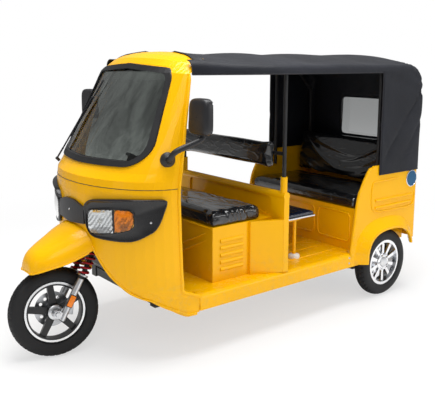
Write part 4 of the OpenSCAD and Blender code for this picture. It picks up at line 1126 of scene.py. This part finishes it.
def guard_line(angle, inward):
    """Line along the mudguard at an angle from its crown, moved in from its face."""
    points = []
    for i, (ahead, crown, half, depth) in enumerate(GUARD_ROWS):
        a = math.radians(angle)
        y = (half - inward) * math.copysign(abs(math.sin(a)) ** (2 / GUARD_BOW), a)
        z = crown - inward - (depth - inward) * (1 - abs(math.cos(a)) ** (2 / GUARD_BOW))
        points.append((nose_x(z, y) + 0.8 if i == 0 else WHEELBASE + ahead - inward, y, z))
    return smooth_path(points, 6)


guard_angles = [4.5 * k for k in range(20, -21, -1)]
guard_outer = [guard_line(a, 0) for a in guard_angles]
guard_inner = [guard_line(a, GUARD_T) for a in guard_angles]
tip = [line[-1] for line in guard_outer]
lip = smooth_path(guard_outer[0][2:-3:3] + tip[4:-4:4] + guard_outer[-1][-4:1:-3], 4)
fitted("mudguard_beak", [shell(guard_outer, guard_inner), tube(lip, 5.0, 10)], paint, "body_paint", sharp=40,
       replaces="front_mudguard")

# Rolled edges and pressed beads of the body


def bead(points, r, closed=False):
    """Half-sunk bead on a smooth curve, with narrowed ends unless it is closed."""
    path = smooth_path(points, 5, closed)
    if closed:
        return tube(path, r, 10, True)
    radii = [r * min(1.0, 0.35 + 0.65 * min(i, len(path) - 1 - i) / 3) for i in range(len(path))]
    return tube(path, radii, 10)


def loop_points(a, b, r):
    """Corners of a rounded rectangle from a to b, three points to a corner."""
    points = []
    for cx, cy, start in ((b[0] - r, b[1] - r, 0), (a[0] + r, b[1] - r, 90), (a[0] + r, a[1] + r, 180),
                          (b[0] - r, a[1] + r, 270)):
        for turn in (0, 45, 90):
            t = math.radians(start + turn)
            points.append((cx + r * math.cos(t), cy + r * math.sin(t)))
    return points


def panel_bead(x, a, b, corner, r):
    """Closed bead round a panel that faces along X, between two (y, z) corners."""
    return bead([(x, y, z) for y, z in loop_points(a, b, corner)], r, True)


EDGE_Z = [*np.linspace(300, 1000, 15), 1045, 1080, *np.linspace(1140, 1560, 8)]
door_edge = bead([cab(z, 90, -2) for z in EDGE_Z], 10)
arch_bead = bead([cab(arch_edge(a) + 3, a, -1) for a in np.linspace(18.4, 86, 28)], 7)
wing = bead([(x, 531, z) for x, z in (
    (350, 282), (350, 378), (326, 545), (300, 712), (262, 800), (200, 896), (168, 914))], 11)
side_recess = bead([(x, 541, z) for x, z in (
    (-110, 823), (0, 822), (132, 819), (164, 800), (172, 735), (170, 668), (130, 616), (-60, 606), (-262, 608),
    (-298, 650), (-303, 700))], 5.5)
seat_v = ((-360, 640), (-190, 560), (0, 478), (190, 560), (360, 640))
panel_beads = [bead([(1431, y, z - k) for y, z in seat_v], 6) for k in (0, 46)]
panel_beads.append(bead([(1431, y, 676) for y in np.linspace(-420, 420, 9)], 6))
panel_beads += [panel_bead(301, (low, 420), (low + 290, 612), 40, 6) for low in (-470, -145, 180)]
panel_beads += [bead([(x, y, 360.5) for x in np.linspace(345, 920, 8)], 6) for y in range(-390, 391, 130)]
panel_beads.append(panel_bead(935, (-460, 690), (460, 790), 34, 5))
panel_beads.append(panel_bead(935, (-330, 420), (330, 590), 40, 5))
panel_beads.append(panel_bead(-351, (-300, 640), (300, 800), 40, 5))


def nose_lip(rows):
    """Lines of the turned-down lip along the nose's lower edge, from (drop, out) rows."""
    return [[cab(arch_edge(a) - drop * min(1.0, (a - 36) / 20), a, out) for a in np.linspace(36, 88, 30)]
            for drop, out in rows]


lip_shell = shell(nose_lip(((-8, 1.0), (0, 1.6), (7, 1.6), (12, 0.8), (13, -1.0))),
                  nose_lip(((-8, -3.0), (0, -3.0), (7, -3.0), (11, -3.0), (13, -1.4))))
edges = mirrored([door_edge, arch_bead, lip_shell, wing, side_recess])
fitted("body_beads", edges + panel_beads, paint, "body_paint", sharp=60)
seam_line = [cab(965, a, -0.6) for a in np.linspace(-89, 89, 60)]
fitted("cab_seam_strip", [tube(seam_line, 1.7, 8)], rubber, "rubber")
screws = [screw((x, y, z), (0, 1, 0), r) for x, y, r in ((375, 539.6, 7), (1556, 534, 5)) for z in (300, 335)]
fitted("body_screws", mirrored(screws), steel, "steel")

# Blank round badge on the left side, and tail lamp frames

BADGE_AT = (-259, 540, 803)
badge = lathe([(58, -1), (58, 3), (55, 5), (52.5, 5), (51, 4), (0, 4.6)], BADGE_AT, (0, 1, 0), 64)
badge_ring = lathe([(59.5, -1), (59.5, 4), (57.5, 5.6), (54.5, 5.6), (53, 3)], BADGE_AT, (0, 1, 0), 64)
fitted("side_badge", [badge], badge_blue, "body_paint")
fitted("side_badge_ring", [badge_ring], chrome, "bright_rim")
lamp_frames = mirrored([panel_bead(-354, (344, 474), (486, 606), 20, 5.5)])
fitted("tail_lamp_frames", lamp_frames, plastic, "black_plastic")

# Mirrors: domed heads on curved arms

MIRROR_X, MIRROR_Y, MIRROR_Z, MIRROR_HALF_Y, MIRROR_HALF_Z = 1632, 598, 1335, 80, 95
MIRROR_RINGS = (
    # distance ahead of the mirror's middle, share of its full size
    (-12, 0.90), (-13, 0.95), (-11, 1.0), (0, 1.0), (12, 1.0), (21, 0.985), (28, 0.95), (32.5, 0.88),
    (34.5, 0.76), (35, 0.5), (35, 0.02),
)


def squarish(v):
    return math.copysign(abs(v) ** 0.42, v)


def mirror_head(side):
    """Domed head with round corners, whose inner edge slants."""
    rings = []
    for x, share in MIRROR_RINGS:
        ring = []
        for k in range(48):
            t = 2 * math.pi * k / 48
            y = MIRROR_HALF_Y * share * squarish(math.cos(t))
            z = MIRROR_HALF_Z * share * squarish(math.sin(t))
            slant = 1 - (0.17 if z < 0 else 0.04) * z / MIRROR_HALF_Z if y * side < 0 else 1.0
            ring.append((MIRROR_X + x, side * MIRROR_Y + y * slant, MIRROR_Z + z))
        rings.append(ring)
    return skin(rings, True)


mirror_parts = []
for s in BOTH:
    foot, normal = cab(1118, s * 74), cab_normal(1118, s * 74)
    arm = smooth_path([foot + normal * 14, foot + normal * 34 + Vector((-4, 0, 8)),
                       foot + Vector((-14, s * 58, 48)), (1640, s * 604, 1222), (1638, s * 606, 1262)], 6)
    mirror_parts += [mirror_head(s),
                     lathe([(40, -4), (40, 6), (36, 13), (25, 18), (20, 24)], foot, normal, 36),
                     tube(arm, 15.5, 16)]
fitted("mirror_shells", mirror_parts, plastic, "black_plastic", sharp=50, replaces="mirrors")

# Fork: fine coils, reflectors and dust seals

LEG_X, LEG_Y = -34, 85
COIL_R, COIL_LOW, COIL_HIGH, COIL_TURNS = 25, 252, 390, 5


def coil(y):
    pitch = (COIL_HIGH - COIL_LOW) / (2 * math.pi * COIL_TURNS)
    return tube([fork(LEG_X + COIL_R * math.cos(t), y + COIL_R * math.sin(t), COIL_LOW + pitch * t)
                 for t in np.linspace(0, 2 * math.pi * COIL_TURNS, COIL_TURNS * 26)], 5.5, 10)


fitted("fork_coils", [coil(LEG_Y), coil(-LEG_Y)], red_enamel, "red_spring", "steering", sharp=60,
       replaces="fork_springs")


def fork_block(centre, size, r):
    """Rounded box on the fork, given in its own millimetres."""
    half = Vector(size) / 2
    work = rounded_box(Vector(centre) - half, Vector(centre) + half, r, 3)
    work.verts.ensure_lookup_table()
    verts = [at(*fork(*v.co)) for v in work.verts]
    faces = [tuple(v.index for v in f.verts) for f in work.faces]
    work.free()
    return verts, faces


for name, y, size, look, slot in (
    ("fork_reflectors", 106, (30, 8, 62), reflector_amber, "amber_lens"),
    ("fork_reflector_holders", 103, (36, 8, 70), plastic, "black_plastic"),
):
    fitted(name, [fork_block((LEG_X, s * y, 92), size, 3) for s in BOTH], look, slot, "steering")
seal_rings = [row for h in range(3, 22, 6) for row in ((21.5, h), (20, h + 3))]
seal_rings = [(18, 0), *seal_rings, (15, 28)]
seals = [lathe(seal_rings, fork(LEG_X, s * LEG_Y, 220), fork_direction(0, 0, 1), 28) for s in BOTH]
fitted("fork_dust_seals", seals, rubber, "rubber", "steering")

# Wheels: caps, nuts and valves

CAP_ROWS = [(41, 0), (41, 2), (37, 5), (24, 6), (22, 3), (12, 3)]
NUT_COUNT, NUT_CIRCLE = 5, 47
front_caps = [lathe(CAP_ROWS, fork(0, 38 * s, 0), fork_direction(0, s, 0), 40) for s in BOTH]
fitted("front_hub_caps", front_caps, alloy, "alloy", "front_wheel")
for side, s in SIDES:
    hub = Vector((0, s * REAR_HUB_Y, REAR_HUB_Z))
    out = Vector((0, s, 0))
    flange = lathe([(60, -1), (60, 3), (56, 5), (36, 6)], hub + out * 26, out, 48)
    cap = lathe([(35, 0), (35, 4), (32, 8), (24, 10.5), (10, 11.5), (0, 11.6)], hub + out * 31, out, 40)
    nuts = [lathe([(7.5, 0), (7.5, 6), (5, 9), (0, 9.5)],
                  hub + out * 30 + Vector((math.cos(t), 0, math.sin(t))) * NUT_CIRCLE, out, 6)
            for t in np.linspace(0, 2 * math.pi, NUT_COUNT, endpoint=False)]
    valve = lathe([(5, 0), (4, 10), (4, 22), (3, 24), (0, 24)], hub + out * 20 + Vector((0, 0, 136)), out, 12)
    fitted(f"rear_hub_{side}", [flange] + nuts, chrome, "bright_rim", f"rear_wheel_{side}")
    fitted(f"rear_cap_{side}", [cap], alloy, "alloy", f"rear_wheel_{side}")
    fitted(f"rear_valve_{side}", [valve], rubber, "rubber", f"rear_wheel_{side}")

# Folding seat: pad on an edged board with its hinge lugs, and cups under the legs

board = rounded_box(at(562, -400, 622.5), at(878, 400, 634), 0.004, 3)
jump_board = from_bmesh("jump_board", board, alloy)
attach(jump_board, "jump_seat")
cushion("jump_pad", "jump_seat", at(567, -395, 634.4), at(873, 395, 656), 0.008, 0.007, 0.003, 0.0008, 13,
        look=blue_vinyl, body="jump_seat")
HINGE_X, HINGE_Z = 902, 640
lugs = []
for s in BOTH:
    lugs += [lathe([(14, 0), (14, 16)], (HINGE_X, s * 326, HINGE_Z), (0, s, 0), 32),
             lathe([(6, 0), (6, 22)], (HINGE_X, s * 336, HINGE_Z), (0, s, 0), 24),
             tube([(850, s * 334, 638), (HINGE_X, s * 334, HINGE_Z)], 5.8, 12)]
fitted("jump_hinges", lugs, steel, "steel", "jump_seat")
feet = [lathe([(38, 0), (38, 14), (34, 22), (24, 26), (13, 28)], (712, 360, 360.6), (0, 0, 1), 40)]
fitted("jump_feet", mirrored(feet), white_plastic, "black_plastic")

# Instrument on the dash

GAUGE_TILT = math.radians(25)
gauge_axis = Vector((-math.sin(GAUGE_TILT), 0, math.cos(GAUGE_TILT)))
gauge_at = Vector((1900, 0, 984)) + gauge_axis * 46
gauge_ring = lathe([(62, -4), (64, 2), (62, 8), (56, 9), (53, 3)], gauge_at, gauge_axis, 56)
fitted("gauge_ring", [gauge_ring], gloss_black, "black_plastic")
dial_x = gauge_axis.orthogonal().normalized()
dial_y = gauge_axis.cross(dial_x)


def on_dial(t, r, out):
    """Point on the dial at an angle and a distance from its middle, standing out of its face."""
    return gauge_at + gauge_axis * out + (dial_x * math.cos(t) + dial_y * math.sin(t)) * r


sweep = math.radians(130)
ticks = [tube([on_dial(t, 38, 1.6), on_dial(t, 47, 1.6)], 1.1, 6) for t in np.linspace(-sweep, sweep, 14)]
ticks.append(tube([on_dial(2.0, 0, 2.4), on_dial(2.0, 40, 2.4)], [2.2, 0.8], 8))
fitted("gauge_ticks", ticks, white_plastic, "black_plastic")

# Floor, light and background

FLOOR_HALF = 40


def mix_shaders(tree, factor, first, second, target):
    """Send a mix of two shaders to a tree's output node."""
    mixer = tree.nodes.new("ShaderNodeMixShader")
    for slot, source in zip(mixer.inputs, (factor, first, second)):
        tree.links.new(source, slot)
    tree.links.new(mixer.outputs[0], tree.nodes[target].inputs["Surface"])


floor_look = Graph("pale_floor", (0.88, 0.88, 0.88), Roughness=0.7, Specular_IOR_Level=0.1)
floor_look.feed(Base_Color=floor_look.mix(floor_look.noise(0.8, 2), (0.86, 0.86, 0.86), (0.90, 0.90, 0.90)))
ground = floor_look.vector("LENGTH", floor_look.place, output="Value")
seen = floor_look.node("ShaderNodeLightPath", output="Is Camera Ray")
glow = floor_look.node("ShaderNodeEmission")
mix_shaders(floor_look.tree, ((0.6 + ground.step(1.6, 4.2) * 0.4) * seen).socket,
            floor_look.shader.outputs[0], glow.socket, "Material Output")
corners = [(x * FLOOR_HALF, y * FLOOR_HALF, 0) for x, y in ((-1, -1), (1, -1), (1, 1), (-1, 1))]
piece("floor", corners, [(0, 1, 2, 3)], floor_look.material, None, smooth=False)


def soft_light(name, place, target, size, power):
    data = bpy.data.lights.new(name, "AREA")
    data.shape = "RECTANGLE"
    data.size, data.size_y = size
    data.energy = power
    lamp = bpy.data.objects.new(name, data)
    bpy.context.scene.collection.objects.link(lamp)
    lamp.location = place
    lamp.rotation_euler = (Vector(target) - Vector(place)).to_track_quat("-Z", "Y").to_euler()


soft_light("key", (3.5, 4.5, 5.0), (0.2, 0, 0.8), (3.5, 3.0), 80)
soft_light("top", (0.0, 0.5, 6.0), (0, 0, 0.5), (5.0, 4.0), 490)
soft_light("side", (-3.5, 5.0, 2.5), (-0.4, 0, 0.9), (3.0, 2.2), 72)
soft_light("front", (6.0, 0.5, 2.0), (1.0, 0, 0.8), (2.0, 2.6), 10)

# The world lights the part softly, and the camera sees it white
world = bpy.data.worlds.new("studio")
bpy.context.scene.world = world
world.use_nodes = True
sky = world.node_tree
backdrop, white = sky.nodes["Background"], sky.nodes.new("ShaderNodeBackground")
for node, strength in ((backdrop, 0.31), (white, 1.0)):
    node.inputs["Color"].default_value = (1, 1, 1, 1)
    node.inputs["Strength"].default_value = strength
rays = sky.nodes.new("ShaderNodeLightPath")
mix_shaders(sky, rays.outputs["Is Camera Ray"], backdrop.outputs[0], white.outputs[0], "World Output")
bpy.context.scene.view_settings.view_transform = "Standard"
